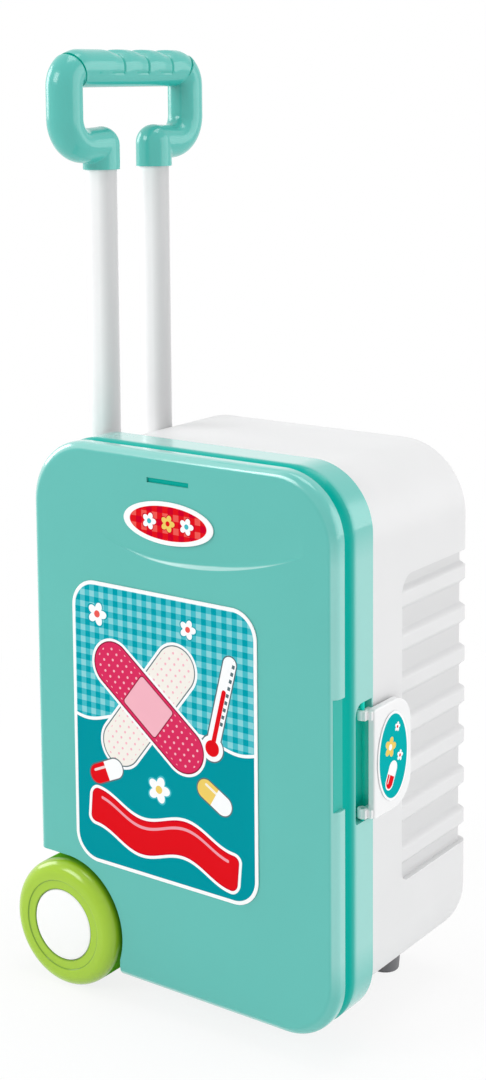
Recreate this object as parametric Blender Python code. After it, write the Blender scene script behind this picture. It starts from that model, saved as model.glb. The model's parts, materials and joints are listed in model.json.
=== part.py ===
# Toy doctor case: a child's upright trolley case with a hinged lid, side latch,
# pull-out handle and two wheels.
#
# Everything is modelled in case coordinates, in metres: X runs right from the
# left side of the lid, Y runs back from its front face, and Z runs up from its
# bottom edge. The empty called case_frame then puts the ground and the middle
# of the whole case at the world's origin.

import math

import bmesh
import bpy
from mathutils import Vector

for old in list(bpy.data.objects):
    bpy.data.objects.remove(old, do_unlink=True)

# Shared fits and counts
SEAM_GAP = 0.0003           # between pieces that touch
RUN_GAP = 0.0006            # round pieces that slide or turn
OVERRUN = 0.004             # how far cutters pass the walls they cut
CORNER_STEPS = 8
ROUND_STEPS = 32
SMALL_STEPS = 16

# Lid: the front shell
CASE_WIDTH = 0.242
CASE_HEIGHT = 0.360
LID_DEPTH = 0.043
TOP_RADIUS = 0.047
BOTTOM_RADIUS = 0.043
LID_WALL = 0.0022
FACE_FILLET = 0.006
GROOVE_FRONT = 0.0108       # where the front band ends
GROOVE_BACK = 0.0206        # where the rear band starts
GROOVE_DEPTH = 0.0032
GROOVE_STEP_SHARES = (0.125, 0.25)  # of the groove's width: where its floor starts and ends
GROOVE_RISE_SHARE = 0.67    # where it is back to half its depth
BAND_EDGE = 0.0007          # small rounding of the band's edge
FACE_WALL = 0.0024

# Crescent crease across the upper face
CREASE_LEFT = 0.060
CREASE_RIGHT = 0.2195
CREASE_DROP = 0.0715        # from the lid's top to its lowest point
CREASE_LOW_X = 0.122
CREASE_RISE = 0.0198        # rise from the low point to the right tip
CREASE_LEFT_RISE = 0.0095
CREASE_BAND = 0.0056        # widest part of the sloped step
CREASE_DEPTH = 0.0012
CREASE_FADE = 0.030         # height over which the dished area runs out
CREASE_SKEW = 1.6           # moves its widest place to the right
CREASE_TIP_SHARE = 0.02     # of the depth, left at both tips

# Hanging slot above the badge
SLOT_X = 0.1155
SLOT_DROP = 0.0180          # from the lid's top to its middle
SLOT_LENGTH = 0.0335
SLOT_HEIGHT = 0.0032
SLOT_DEPTH = 0.0014

# Rear shell
CASE_DEPTH = 0.1665
SHELL_WALL = 0.0025
SHELL_SIDE_INSET = 0.0008
SHELL_TOP_INSET = 0.0058
SHELL_BOTTOM_INSET = 0.0075
SHELL_EDGE_RADIUS = 0.008

# Ribbed panel on the right side, round the rear corner
PANEL_DROP = 0.0773         # from the lid's top to the panel's top
PANEL_BOTTOM = 0.0800
PANEL_FRONT = 0.0790
PANEL_BACK_LENGTH = 0.040   # how far it runs along the back
PANEL_RADIUS = 0.012
PANEL_DEPTH = 0.0038
RIB_COUNT = 7
RIB_WIDTH = 0.0145
RIB_SLOPE = 0.0022
RIB_SINK = 0.0005           # rib crests lie this much under the surface
FIRST_RIB = 0.0973          # height of the lowest rib's middle
LAST_RIB_DROP = 0.0156      # from the panel's top to the highest rib's middle

# Wheels, axle and the wells they stand in
WHEEL_X = 0.0250
WHEEL_Z = 0.0262
WHEEL_RADIUS = 0.0435
WHEEL_WIDTH = 0.0355
WHEEL_PROUD = 0.0068        # how far the tyre stands out past the lid's face
TYRE_ROUND = 0.0085
TYRE_STEP_RADIUS = 0.0308
TYRE_STEP = 0.0007
HUB_RADIUS = 0.0246
HUB_SINK = 0.0010
HUB_CAP_THICK = 0.0030
HUB_CAP_EDGE = 0.0006
HUB_BOSS_RADIUS = 0.0090
WEB_THICK = 0.0050
TYRE_WALL = 0.0035
WELL_RADIUS = 0.0488
NOTCH_TUCK = 18             # degrees the lid's notch curves back in below the axle
NOTCH_FRONT_RADIUS = 0.0558  # the notch's wall just behind the face, clear of the wheel as the lid opens
NOTCH_BACK_RADIUS = 0.0605  # the same wall at the lid's rear edge
WELL_WALL = 0.0020
AXLE_RADIUS = 0.0030
AXLE_HOUSING_RADIUS = 0.0075
SPACER_RADIUS = 0.0080
BULKHEAD = 0.0025
RETAINER_RADIUS = 0.0062
RETAINER_THICK = 0.0016
WHEEL_PLAY = 0.0008         # room between a wheel and the shell behind it

# Feet that level the right side
FOOT_X = 0.190
FOOT_FRONT_Y = 0.070
FOOT_BACK_Y = 0.142
FOOT_RADIUS = 0.0120
FOOT_TAPER = 0.0020
FOOT_EDGE = 0.0012
FOOT_FLOOR = 0.0065         # material above the screw's recess
FOOT_BOSS_RADIUS = 0.0055
FOOT_BOSS = 0.0150

# Hinges on the left side
HINGE_X = -0.0045
HINGE_PIN_RADIUS = 0.0015
HINGE_KNUCKLE_RADIUS = 0.0038
HINGE_KNUCKLE = 0.012       # length of one knuckle
HINGE_LOW_Z = 0.115
HINGE_HIGH_DROP = 0.090     # from the lid's top to the upper hinge's middle
HINGE_WEB = 0.0040
HINGE_HEAD_RADIUS = 0.0024
HINGE_HEAD = 0.0010

# Side latch
LATCH_Z = 0.1740
LATCH_HEIGHT = 0.0705
LATCH_FRONT = 0.0345
LATCH_BACK = 0.0790
LATCH_THICK = 0.0048
LATCH_STANDOFF = 0.0014
LATCH_FREE_RADIUS = 0.0190
LATCH_HINGE_RADIUS = 0.0020
LATCH_EDGE = 0.0012
LATCH_PIN_Y = 0.0330
LATCH_PIN_INSET = 0.0018
LATCH_PIN_RADIUS = 0.0014
LATCH_LUG = 0.0075          # height of one hinge lug
LATCH_LUG_RADIUS = 0.0034
POCKET_FRONT = 0.0220
POCKET_DEPTH = 0.0070
POCKET_RAMP = 0.0078        # how far its sloped front runs back
POCKET_TOP_ROOM = 0.0050    # above the latch
POCKET_LOW_ROOM = 0.0010    # below it
POCKET_WALL = 0.0020
PIN_SEAT = 0.0060
FINGER_DEPTH = 0.0024       # shallow recess across the front band
FINGER_BELOW = 0.0215       # from the latch's middle to the recess's lower end
FINGER_ABOVE = 0.0492       # and to its upper end
HOOK_REACH = 0.0018
HOOK_LENGTH = 0.0026
HOOK_HEIGHT = 0.026
HOOK_Y = 0.0690
KEEPER_PROUD = 0.0011
KEEPER_GAP = 0.0005
KEEPER_LENGTH = 0.0030

# Labels: thin oval and rounded plates
LABEL_THICK = 0.0005
LABEL_LEFT = 0.0347
LABEL_RIGHT = 0.1846
LABEL_LOW = 0.0761
LABEL_DROP = 0.0910         # from the lid's top to the label's upper edge
LABEL_RADIUS = 0.0190
BADGE_X = 0.1162
BADGE_DROP = 0.0444         # from the lid's top to the badge's middle
BADGE_HALF_WIDTH = 0.0356
BADGE_HALF_HEIGHT = 0.0136
LATCH_LABEL_Y = 0.0555
LATCH_LABEL_HALF_WIDTH = 0.0180
LATCH_LABEL_HALF_HEIGHT = 0.0286

# Pull handle
TUBE_X = 0.0180
TUBE_SPACING = 0.0570
TUBE_FRONT_Y = 0.0566
TUBE_RADIUS = 0.0105
TUBE_WALL = 0.0012
SOCKET_DEPTH = 0.020
HANDLE_TRAVEL = 0.170
GRIP_TOP = 0.6158
GRIP_HALF_WIDTH = 0.0766
GRIP_SECTION = 0.0232       # seen from the side
GRIP_WIDTH = 0.0252         # seen from the front
GRIP_ROUND = 0.0100
GRIP_OUTER_RADIUS = 0.0255   # its upper outer bends
GRIP_LOW_RADIUS = 0.0300     # its lower outer bends
GRIP_INNER_RADIUS = 0.0030
FOOT_TOP_DROP = 0.0518      # from the top of the grip to the top of its feet
FOOT_LOW_DROP = 0.0756      # to the underside of its feet
COLLAR_DROP = 0.0803        # to the underside of the tube sockets
GRIP_FOOT_RADIUS = 0.0140   # the elbow over each socket
GRIP_HEEL_RADIUS = 0.0085
COLLAR_RADIUS = 0.0126
BAR_RADIUS = 0.0121
BAR_BEND = 25               # degrees the bar follows the outer bend before its end line
BAR_BURIED = 15             # degrees it runs on inside the arm
BAR_STEP = 0.0006           # the arms stand this much proud of the bar
FINGER_DEPTH_MAX = 0.0013
FINGER_PITCH = 0.0284
FINGER_COUNT = 3
FINGER_SHARPNESS = 0.4
FINGER_SIDE_SHARE = 0.25    # of the bar's radius: how far below its middle the creases start
BEND_MIN_RADIUS = 0.0004    # tightest inner line of the rounded edges
ELBOW_SHARE = 0.6           # of the foot's height, at most, for the elbow's arc
FINGER_SHARES = (0, 0.26, 0.40, 0.465, 0.5, 0.535, 0.60, 0.74)

# Handle channel inside the rear shell
GUIDE_DROP = 0.085          # from the lid's top to the guide plate's underside
GUIDE_THICK = 0.005
GUIDE_MARGIN = 0.0028
CHANNEL_WALL = 0.0018
CHANNEL_LOW = 0.0775
CHANNEL_GAP = 0.0010
STOP_HEIGHT = 0.016
STOP_MARGIN = 0.0018
STOP_SPIGOT = 0.012
LEDGE_THICK = 0.0030
LEDGE_REACH = 0.0019
LEDGE_LENGTH = 0.030

# Screws
SCREW_RADIUS = 0.0013
SCREW_HEAD_RADIUS = 0.0027
SCREW_HEAD = 0.0010
SCREW_LENGTH = 0.0110
SCREW_BOSS_RADIUS = 0.0034
GRIP_SCREW_LENGTH = 0.0034
FOOT_SCREW_LENGTH = 0.0150

# Places worked out from the sizes above
CREASE_LOW = CASE_HEIGHT - CREASE_DROP
SLOT_Z = CASE_HEIGHT - SLOT_DROP
BADGE_Z = CASE_HEIGHT - BADGE_DROP
LABEL_HIGH = CASE_HEIGHT - LABEL_DROP
PANEL_TOP = CASE_HEIGHT - PANEL_DROP
RIB_PITCH = (PANEL_TOP - LAST_RIB_DROP - FIRST_RIB) / (RIB_COUNT - 1)
HINGE_HIGH_Z = CASE_HEIGHT - HINGE_HIGH_DROP
GUIDE_Z = CASE_HEIGHT - GUIDE_DROP
FINGER_LOW = LATCH_Z - FINGER_BELOW
FINGER_HIGH = LATCH_Z + FINGER_ABOVE
SHELL_FRONT = LID_DEPTH + SEAM_GAP
HINGE_Y = LID_DEPTH + SEAM_GAP / 2
WHEEL_FRONT_Y = -WHEEL_PROUD
WHEEL_BACK_Y = CASE_DEPTH + WHEEL_PROUD
MID_Y = CASE_DEPTH / 2
TUBE_BACK_Y = TUBE_FRONT_Y + TUBE_SPACING
HANDLE_MID_Y = TUBE_FRONT_Y + TUBE_SPACING / 2
GRIP_FOOT_TOP = GRIP_TOP - FOOT_TOP_DROP
GRIP_FOOT_BOTTOM = GRIP_TOP - FOOT_LOW_DROP
COLLAR_Z = GRIP_TOP - COLLAR_DROP
LATCH_FACE = CASE_WIDTH + LATCH_STANDOFF + LATCH_THICK
LATCH_PIN_X = CASE_WIDTH - LATCH_PIN_INSET
LATCH_OUTER = LATCH_FACE + SEAM_GAP + LABEL_THICK
POCKET_LOW = LATCH_Z - LATCH_HEIGHT / 2 - POCKET_LOW_ROOM
POCKET_HIGH = LATCH_Z + LATCH_HEIGHT / 2 + POCKET_TOP_ROOM
GROUND_Z = WHEEL_Z - WHEEL_RADIUS
ORIGIN_X = (WHEEL_X - WHEEL_RADIUS + LATCH_OUTER) / 2
SHELL_LEFT = SHELL_SIDE_INSET
SHELL_RIGHT = CASE_WIDTH - SHELL_SIDE_INSET
SHELL_TOP = CASE_HEIGHT - SHELL_TOP_INSET
SHELL_BOTTOM = SHELL_BOTTOM_INSET
FOOT_HEIGHT = SHELL_BOTTOM - SEAM_GAP - GROUND_Z
CHANNEL_RIGHT = TUBE_X + TUBE_RADIUS + GUIDE_MARGIN + CHANNEL_GAP
CHANNEL_BACK = TUBE_BACK_Y + TUBE_RADIUS + GUIDE_MARGIN + CHANNEL_GAP
CHANNEL_FRONT = TUBE_FRONT_Y - TUBE_RADIUS - CHANNEL_GAP


def material(name, colour, roughness, metallic=0.0):
    """A Principled material with one plain colour."""
    made = bpy.data.materials.new(name)
    made.use_nodes = True
    shader = made.node_tree.nodes["Principled BSDF"]
    shader.inputs["Base Color"].default_value = (*colour, 1.0)
    shader.inputs["Roughness"].default_value = roughness
    shader.inputs["Metallic"].default_value = metallic
    made.diffuse_color = (*colour, 1.0)
    return made


TEAL = (0.12, 0.53, 0.47)
WHITE = (0.83, 0.83, 0.83)
GREEN = (0.37, 0.63, 0.04)
STEEL = (0.60, 0.60, 0.60)
GREY = (0.25, 0.25, 0.26)
LABEL_BLUE = (0.02, 0.35, 0.40)
LABEL_RED = (0.72, 0.05, 0.06)


def empty(name, place, parent):
    """An empty that carries the pieces turning or sliding about a place."""
    made = bpy.data.objects.new(name, None)
    made.empty_display_size = SHELL_EDGE_RADIUS
    bpy.context.collection.objects.link(made)
    made.parent = parent
    made.location = Vector(place) - (Vector(parent["place"]) if parent else Vector())
    made["place"] = list(place)
    return made


def solid(name, points, faces, carrier, look=None):
    """A mesh object from points in case coordinates, carried by an empty."""
    base = Vector(carrier["place"])
    mesh = bpy.data.meshes.new(name)
    mesh.from_pydata([Vector(point) - base for point in points], [], faces)
    work = bmesh.new()
    work.from_mesh(mesh)
    bmesh.ops.recalc_face_normals(work, faces=work.faces)
    if work.calc_volume(signed=True) < 0:
        bmesh.ops.reverse_faces(work, faces=work.faces)
    work.to_mesh(mesh)
    work.free()
    made = bpy.data.objects.new(name, mesh)
    bpy.context.collection.objects.link(made)
    made.parent = carrier
    if look:
        mesh.materials.append(look)
    return made


def smooth(thing, degrees=35):
    """Smooth shading with the sharper edges kept."""
    thing.data.shade_smooth()
    thing.data.set_sharp_from_angle(angle=math.radians(degrees))
    return thing


def boolean(target, tool, operation):
    """Joins or cuts with a tool object, which is kept as a hidden wire guide."""
    step = target.modifiers.new(tool.name, "BOOLEAN")
    step.operation = operation
    step.object = tool
    tool.hide_render = True
    tool.display_type = "WIRE"
    return target


def cut(target, *tools):
    for tool in tools:
        boolean(target, tool, "DIFFERENCE")
    return target


def join(target, *tools):
    for tool in tools:
        boolean(target, tool, "UNION")
    return target


def bevel(thing, width, segments, degrees=40):
    step = thing.modifiers.new("edge rounding", "BEVEL")
    step.width = width
    step.segments = segments
    step.limit_method = "ANGLE"
    step.angle_limit = math.radians(degrees)
    return thing


def loft(name, rings, carrier, look=None):
    """A closed body through rings that hold the same number of points."""
    count = len(rings[0])
    points = [point for ring in rings for point in ring]
    faces = []
    for row in range(len(rings) - 1):
        for here in range(count):
            there = (here + 1) % count
            low, high = row * count, (row + 1) * count
            faces.append((low + here, low + there, high + there, high + here))
    faces.append(tuple(range(count)))
    faces.append(tuple(range((len(rings) - 1) * count, len(rings) * count)))
    return solid(name, points, faces, carrier, look)


def block(name, low, high, carrier, look=None):
    """A box between two corners."""
    rings = []
    for z in (low[2], high[2]):
        rings.append([(low[0], low[1], z), (high[0], low[1], z), (high[0], high[1], z), (low[0], high[1], z)])
    return loft(name, rings, carrier, look)


def arc(centre, radius, start, end, steps=CORNER_STEPS):
    """Points along an arc in a plane, angles in degrees."""
    points = []
    for step in range(steps + 1):
        angle = math.radians(start + (end - start) * step / steps)
        points.append((centre[0] + radius * math.cos(angle), centre[1] + radius * math.sin(angle)))
    return points


def rounded(left, right, low, high, top_radius, low_radius, steps=CORNER_STEPS):
    """A rectangle with round corners, anticlockwise from the lower right."""
    outline = []
    outline += arc((right - low_radius, low + low_radius), low_radius, -90, 0, steps)
    outline += arc((right - top_radius, high - top_radius), top_radius, 0, 90, steps)
    outline += arc((left + top_radius, high - top_radius), top_radius, 90, 180, steps)
    outline += arc((left + low_radius, low + low_radius), low_radius, 180, 270, steps)
    return outline


def case_outline(inset, left=0.0, right=CASE_WIDTH, low=0.0, high=CASE_HEIGHT):
    """The case's front outline, drawn in by an inset."""
    return rounded(left + inset, right - inset, low + inset, high - inset,
                   TOP_RADIUS - inset, BOTTOM_RADIUS - inset)


def upright(outline, y):
    """An outline in X and Z, stood at a depth."""
    return [(x, y, z) for x, z in outline]


def sideways(outline, x):
    """An outline in Y and Z, stood at a distance across."""
    return [(x, y, z) for y, z in outline]


def level(outline, z):
    """An outline in X and Y, laid at a height."""
    return [(x, y, z) for x, y in outline]


def circle(centre, radius, steps=ROUND_STEPS):
    return arc(centre, radius, -90, 270 - 360 / steps, steps - 1)


def rod(name, axis, centre, radius, start, end, carrier, look=None, steps=SMALL_STEPS):
    """A plain cylinder along X, Y or Z."""
    stand = {"X": sideways, "Y": upright, "Z": level}[axis]
    ring = circle(centre, radius, steps)
    made = loft(name, [stand(ring, start), stand(ring, end)], carrier, look)
    return smooth(made)


def turned(name, axis, centre, profile, carrier, look=None, steps=ROUND_STEPS):
    """A body turned about an axis from (radius, place) pairs between two flat ends."""
    stand = {"X": sideways, "Y": upright, "Z": level}[axis]
    rings = [stand(circle(centre, radius, steps), place) for radius, place in profile]
    return smooth(loft(name, rings, carrier, look))


def screw(name, axis, centre, seat, out, length, carrier):
    """A plain screw whose head sits outward of its seat."""
    return turned(name, axis, centre,
                  [(SCREW_RADIUS, seat - out * length), (SCREW_RADIUS, seat),
                   (SCREW_HEAD_RADIUS, seat), (SCREW_HEAD_RADIUS, seat + out * SCREW_HEAD)],
                  carrier, steel, SMALL_STEPS)


# Empties: the frame and one on each joint's axis
case_frame = bpy.data.objects.new("case_frame", None)
bpy.context.collection.objects.link(case_frame)
case_frame.location = (-ORIGIN_X, -MID_Y, -GROUND_Z)
case_frame["place"] = [0.0, 0.0, 0.0]
lid_axis = empty("lid_axis", (HINGE_X, HINGE_Y, 0), case_frame)
latch_axis = empty("latch_axis", (LATCH_PIN_X, LATCH_PIN_Y, LATCH_Z), lid_axis)
handle_axis = empty("handle_axis", (TUBE_X, HANDLE_MID_Y, COLLAR_Z), case_frame)
front_wheel_axis = empty("front_wheel_axis", (WHEEL_X, WHEEL_FRONT_Y, WHEEL_Z), case_frame)
back_wheel_axis = empty("back_wheel_axis", (WHEEL_X, WHEEL_BACK_Y, WHEEL_Z), case_frame)

teal_plastic = material("teal_plastic", TEAL, 0.35)
white_plastic = material("white_plastic", WHITE, 0.40)
green_plastic = material("green_plastic", GREEN, 0.30)
steel = material("steel", STEEL, 0.30, 1.0)
grey_plastic = material("grey_plastic", GREY, 0.60)
front_print = material("front_print", LABEL_BLUE, 0.30)
badge_print = material("badge_print", LABEL_RED, 0.30)
latch_print = material("latch_print", LABEL_BLUE, 0.30)


# Wheel wells

NOTCH_SWEEP = math.hypot(WELL_RADIUS + WHEEL_X - HINGE_X, HINGE_Y)


def notch_radius(y):
    """Radius of the notch in the lid's face, which widens so that the opening lid clears the wheel."""
    return math.sqrt(NOTCH_SWEEP ** 2 - (HINGE_Y - y) ** 2) - (WHEEL_X - HINGE_X)


BULKHEAD_TOP = WHEEL_Z + NOTCH_BACK_RADIUS + WELL_WALL + SEAM_GAP


def well_ring(radius, y, far, tuck=0):
    """The lower left corner of the case out to a radius round the wheel."""
    outline = [(WHEEL_X - far, WHEEL_Z + radius)]
    outline += arc((WHEEL_X, WHEEL_Z), radius, 90, -tuck, 2 * CORNER_STEPS)
    outline += [(outline[-1][0], WHEEL_Z - far), (WHEEL_X - far, WHEEL_Z - far)]
    return upright(outline, y)


def notch_wall(name, start, grow):
    """Rings of the notch behind the face: a cone that widens to the lid's rear edge."""
    far = 2 * WHEEL_RADIUS + grow
    slope = (NOTCH_BACK_RADIUS - NOTCH_FRONT_RADIUS) / (LID_DEPTH - FACE_WALL)
    rings = []
    for y in (start, LID_DEPTH + OVERRUN):
        rings.append(well_ring(NOTCH_FRONT_RADIUS + slope * (y - FACE_WALL) + grow, y, far))
    return loft(name, rings, lid_axis)


def notch_face(name):
    """The notch through the lid's face, which follows the wheel closely."""
    far = 2 * WHEEL_RADIUS + WELL_WALL
    rings = [well_ring(notch_radius(y), y, far, NOTCH_TUCK) for y in (-OVERRUN, 0, FACE_WALL + SEAM_GAP)]
    return loft(name, rings, lid_axis)


# Front lid

def lid_profile():
    """(inset, depth) down the lid's side: face fillet, front band, groove, rear band."""
    profile = [(FACE_FILLET - x, FACE_FILLET - y) for x, y in arc((0, 0), FACE_FILLET, 90, 0, 5)]
    run = GROOVE_BACK - GROOVE_FRONT
    profile += [(0, GROOVE_FRONT - BAND_EDGE), (BAND_EDGE, GROOVE_FRONT)]
    profile += [(GROOVE_DEPTH, GROOVE_FRONT + run * share) for share in GROOVE_STEP_SHARES]
    profile += [(GROOVE_DEPTH / 2, GROOVE_FRONT + run * GROOVE_RISE_SHARE), (0, GROOVE_BACK), (0, LID_DEPTH)]
    return profile


def crease_height(x):
    """Lower line of the crease: a long curve with its low point left of the middle."""
    if x > CREASE_LOW_X:
        return CREASE_LOW + CREASE_RISE * ((x - CREASE_LOW_X) / (CREASE_RIGHT - CREASE_LOW_X)) ** 2
    return CREASE_LOW + CREASE_LEFT_RISE * ((CREASE_LOW_X - x) / (CREASE_LOW_X - CREASE_LEFT)) ** 2


def crease_cutter():
    """A shallow dished cut above the crease, deepest under the crescent."""
    rings = []
    steps = 2 * CORNER_STEPS
    for step in range(steps + 1):
        share = step / steps
        x = CREASE_LEFT + (CREASE_RIGHT - CREASE_LEFT) * share
        swell = max(math.sin(math.pi * share ** CREASE_SKEW), CREASE_TIP_SHARE)
        low = crease_height(x)
        ring = [(x, -OVERRUN, low), (x, 0, low), (x, CREASE_DEPTH * swell, low + CREASE_BAND * swell),
                (x, 0, low + CREASE_BAND + CREASE_FADE * swell),
                (x, -OVERRUN, low + CREASE_BAND + CREASE_FADE * swell)]
        rings.append(ring)
    return loft("crease_cut", rings, lid_axis)


def build_lid():
    rings = [upright(case_outline(inset), depth) for inset, depth in lid_profile()]
    lid = loft("front_lid", rings, lid_axis, teal_plastic)

    groove_floor = GROOVE_DEPTH + LID_WALL
    cavity = loft("lid_cavity", [upright(case_outline(FACE_FILLET), FACE_WALL),
                                 upright(case_outline(groove_floor), FACE_FILLET),
                                 upright(case_outline(groove_floor), GROOVE_BACK),
                                 upright(case_outline(LID_WALL), GROOVE_BACK + GROOVE_DEPTH),
                                 upright(case_outline(LID_WALL), LID_DEPTH + OVERRUN)], lid_axis)
    cut(cavity, notch_wall("notch_room", 0, WELL_WALL))

    # Solid seat behind the latch pocket
    seat_depth = CASE_WIDTH - POCKET_DEPTH - POCKET_WALL
    seat = block("latch_seat", (seat_depth, POCKET_FRONT - POCKET_WALL, POCKET_LOW - PIN_SEAT),
                 (CASE_WIDTH, LID_DEPTH - SEAM_GAP, POCKET_HIGH + PIN_SEAT), lid_axis)
    cut(cavity, seat)
    cut(lid, cavity, notch_face("notch_face"), notch_wall("notch_cut", FACE_WALL, 0))

    floor = CASE_WIDTH - POCKET_DEPTH
    back = LID_DEPTH - POCKET_WALL
    outline = [(CASE_WIDTH + OVERRUN, POCKET_FRONT), (CASE_WIDTH, POCKET_FRONT),
               (floor, POCKET_FRONT + POCKET_RAMP), (floor, back), (CASE_WIDTH + OVERRUN, back)]
    pocket = loft("latch_pocket", [level(outline, POCKET_LOW), level(outline, POCKET_HIGH)], lid_axis)
    finger = block("finger_recess", (CASE_WIDTH - FINGER_DEPTH, -OVERRUN, FINGER_LOW),
                   (CASE_WIDTH + OVERRUN, GROOVE_FRONT + OVERRUN, FINGER_HIGH), lid_axis)
    pin_hole = rod("latch_pin_hole", "Z", (LATCH_PIN_X, LATCH_PIN_Y), LATCH_PIN_RADIUS + SEAM_GAP,
                   POCKET_LOW - PIN_SEAT / 2, POCKET_HIGH + PIN_SEAT / 2, lid_axis)
    slot = block("slot_cut", (SLOT_X - SLOT_LENGTH / 2, -OVERRUN, SLOT_Z - SLOT_HEIGHT / 2),
                 (SLOT_X + SLOT_LENGTH / 2, SLOT_DEPTH, SLOT_Z + SLOT_HEIGHT / 2), lid_axis)
    cut(lid, pocket, finger, pin_hole, slot, crease_cutter())

    for place, middle in (("low", HINGE_LOW_Z), ("high", HINGE_HIGH_Z)):
        low, high = middle - HINGE_KNUCKLE / 2, middle + HINGE_KNUCKLE / 2
        knuckle = rod("lid_knuckle_" + place, "Z", (HINGE_X, HINGE_Y), HINGE_KNUCKLE_RADIUS,
                      low, high, lid_axis)
        web = block("lid_web_" + place, (HINGE_X, LID_DEPTH - HINGE_WEB, low),
                    (LID_WALL / 2, LID_DEPTH - SEAM_GAP, high), lid_axis)
        join(knuckle, web)
        bore = rod("lid_bore_" + place, "Z", (HINGE_X, HINGE_Y), HINGE_PIN_RADIUS + SEAM_GAP,
                   low - OVERRUN, high + OVERRUN, lid_axis)
        cut(knuckle, bore)
        join(lid, knuckle)
    return lid


# Rear shell

def bellows(name, carrier):
    """The ribbed core left standing in the panel: its plan outline swells at each rib."""
    def ring(inset, z):
        corner = SHELL_EDGE_RADIUS - inset
        right, back = SHELL_RIGHT - inset, CASE_DEPTH - inset
        outline = [(0, 0), (right, 0)] + arc((right - corner, back - corner), corner, 0, 90) + [(0, back)]
        return level(outline, z)

    rings = [ring(PANEL_DEPTH, PANEL_BOTTOM - OVERRUN)]
    for index in range(RIB_COUNT):
        middle = FIRST_RIB + index * RIB_PITCH
        half = RIB_WIDTH / 2
        for inset, z in ((PANEL_DEPTH, middle - half), (RIB_SINK, middle - half + RIB_SLOPE),
                         (RIB_SINK, middle + half - RIB_SLOPE), (PANEL_DEPTH, middle + half)):
            rings.append(ring(inset, z))
    rings.append(ring(PANEL_DEPTH, PANEL_TOP + OVERRUN))
    return loft(name, rings, carrier)


def panel_cutter():
    """The recess cutter: a side block and a back block less the ribbed core."""
    deep = PANEL_DEPTH + SHELL_EDGE_RADIUS
    side_outline = rounded(PANEL_FRONT, CASE_DEPTH + OVERRUN + PANEL_RADIUS, PANEL_BOTTOM, PANEL_TOP,
                           PANEL_RADIUS, PANEL_RADIUS, CORNER_STEPS // 2)
    side = loft("panel_side", [sideways(side_outline, SHELL_RIGHT - deep),
                               sideways(side_outline, SHELL_RIGHT + OVERRUN)], case_frame)
    left = SHELL_RIGHT - SHELL_EDGE_RADIUS - PANEL_BACK_LENGTH
    back_outline = rounded(left, SHELL_RIGHT + OVERRUN + PANEL_RADIUS, PANEL_BOTTOM, PANEL_TOP,
                           PANEL_RADIUS, PANEL_RADIUS, CORNER_STEPS // 2)
    back = loft("panel_back", [upright(back_outline, CASE_DEPTH - deep),
                               upright(back_outline, CASE_DEPTH + OVERRUN)], case_frame)
    join(side, back)
    return cut(side, bellows("panel_core", case_frame))


def shell_outline(inset):
    return case_outline(inset, SHELL_LEFT, SHELL_RIGHT, SHELL_BOTTOM, SHELL_TOP)


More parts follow.
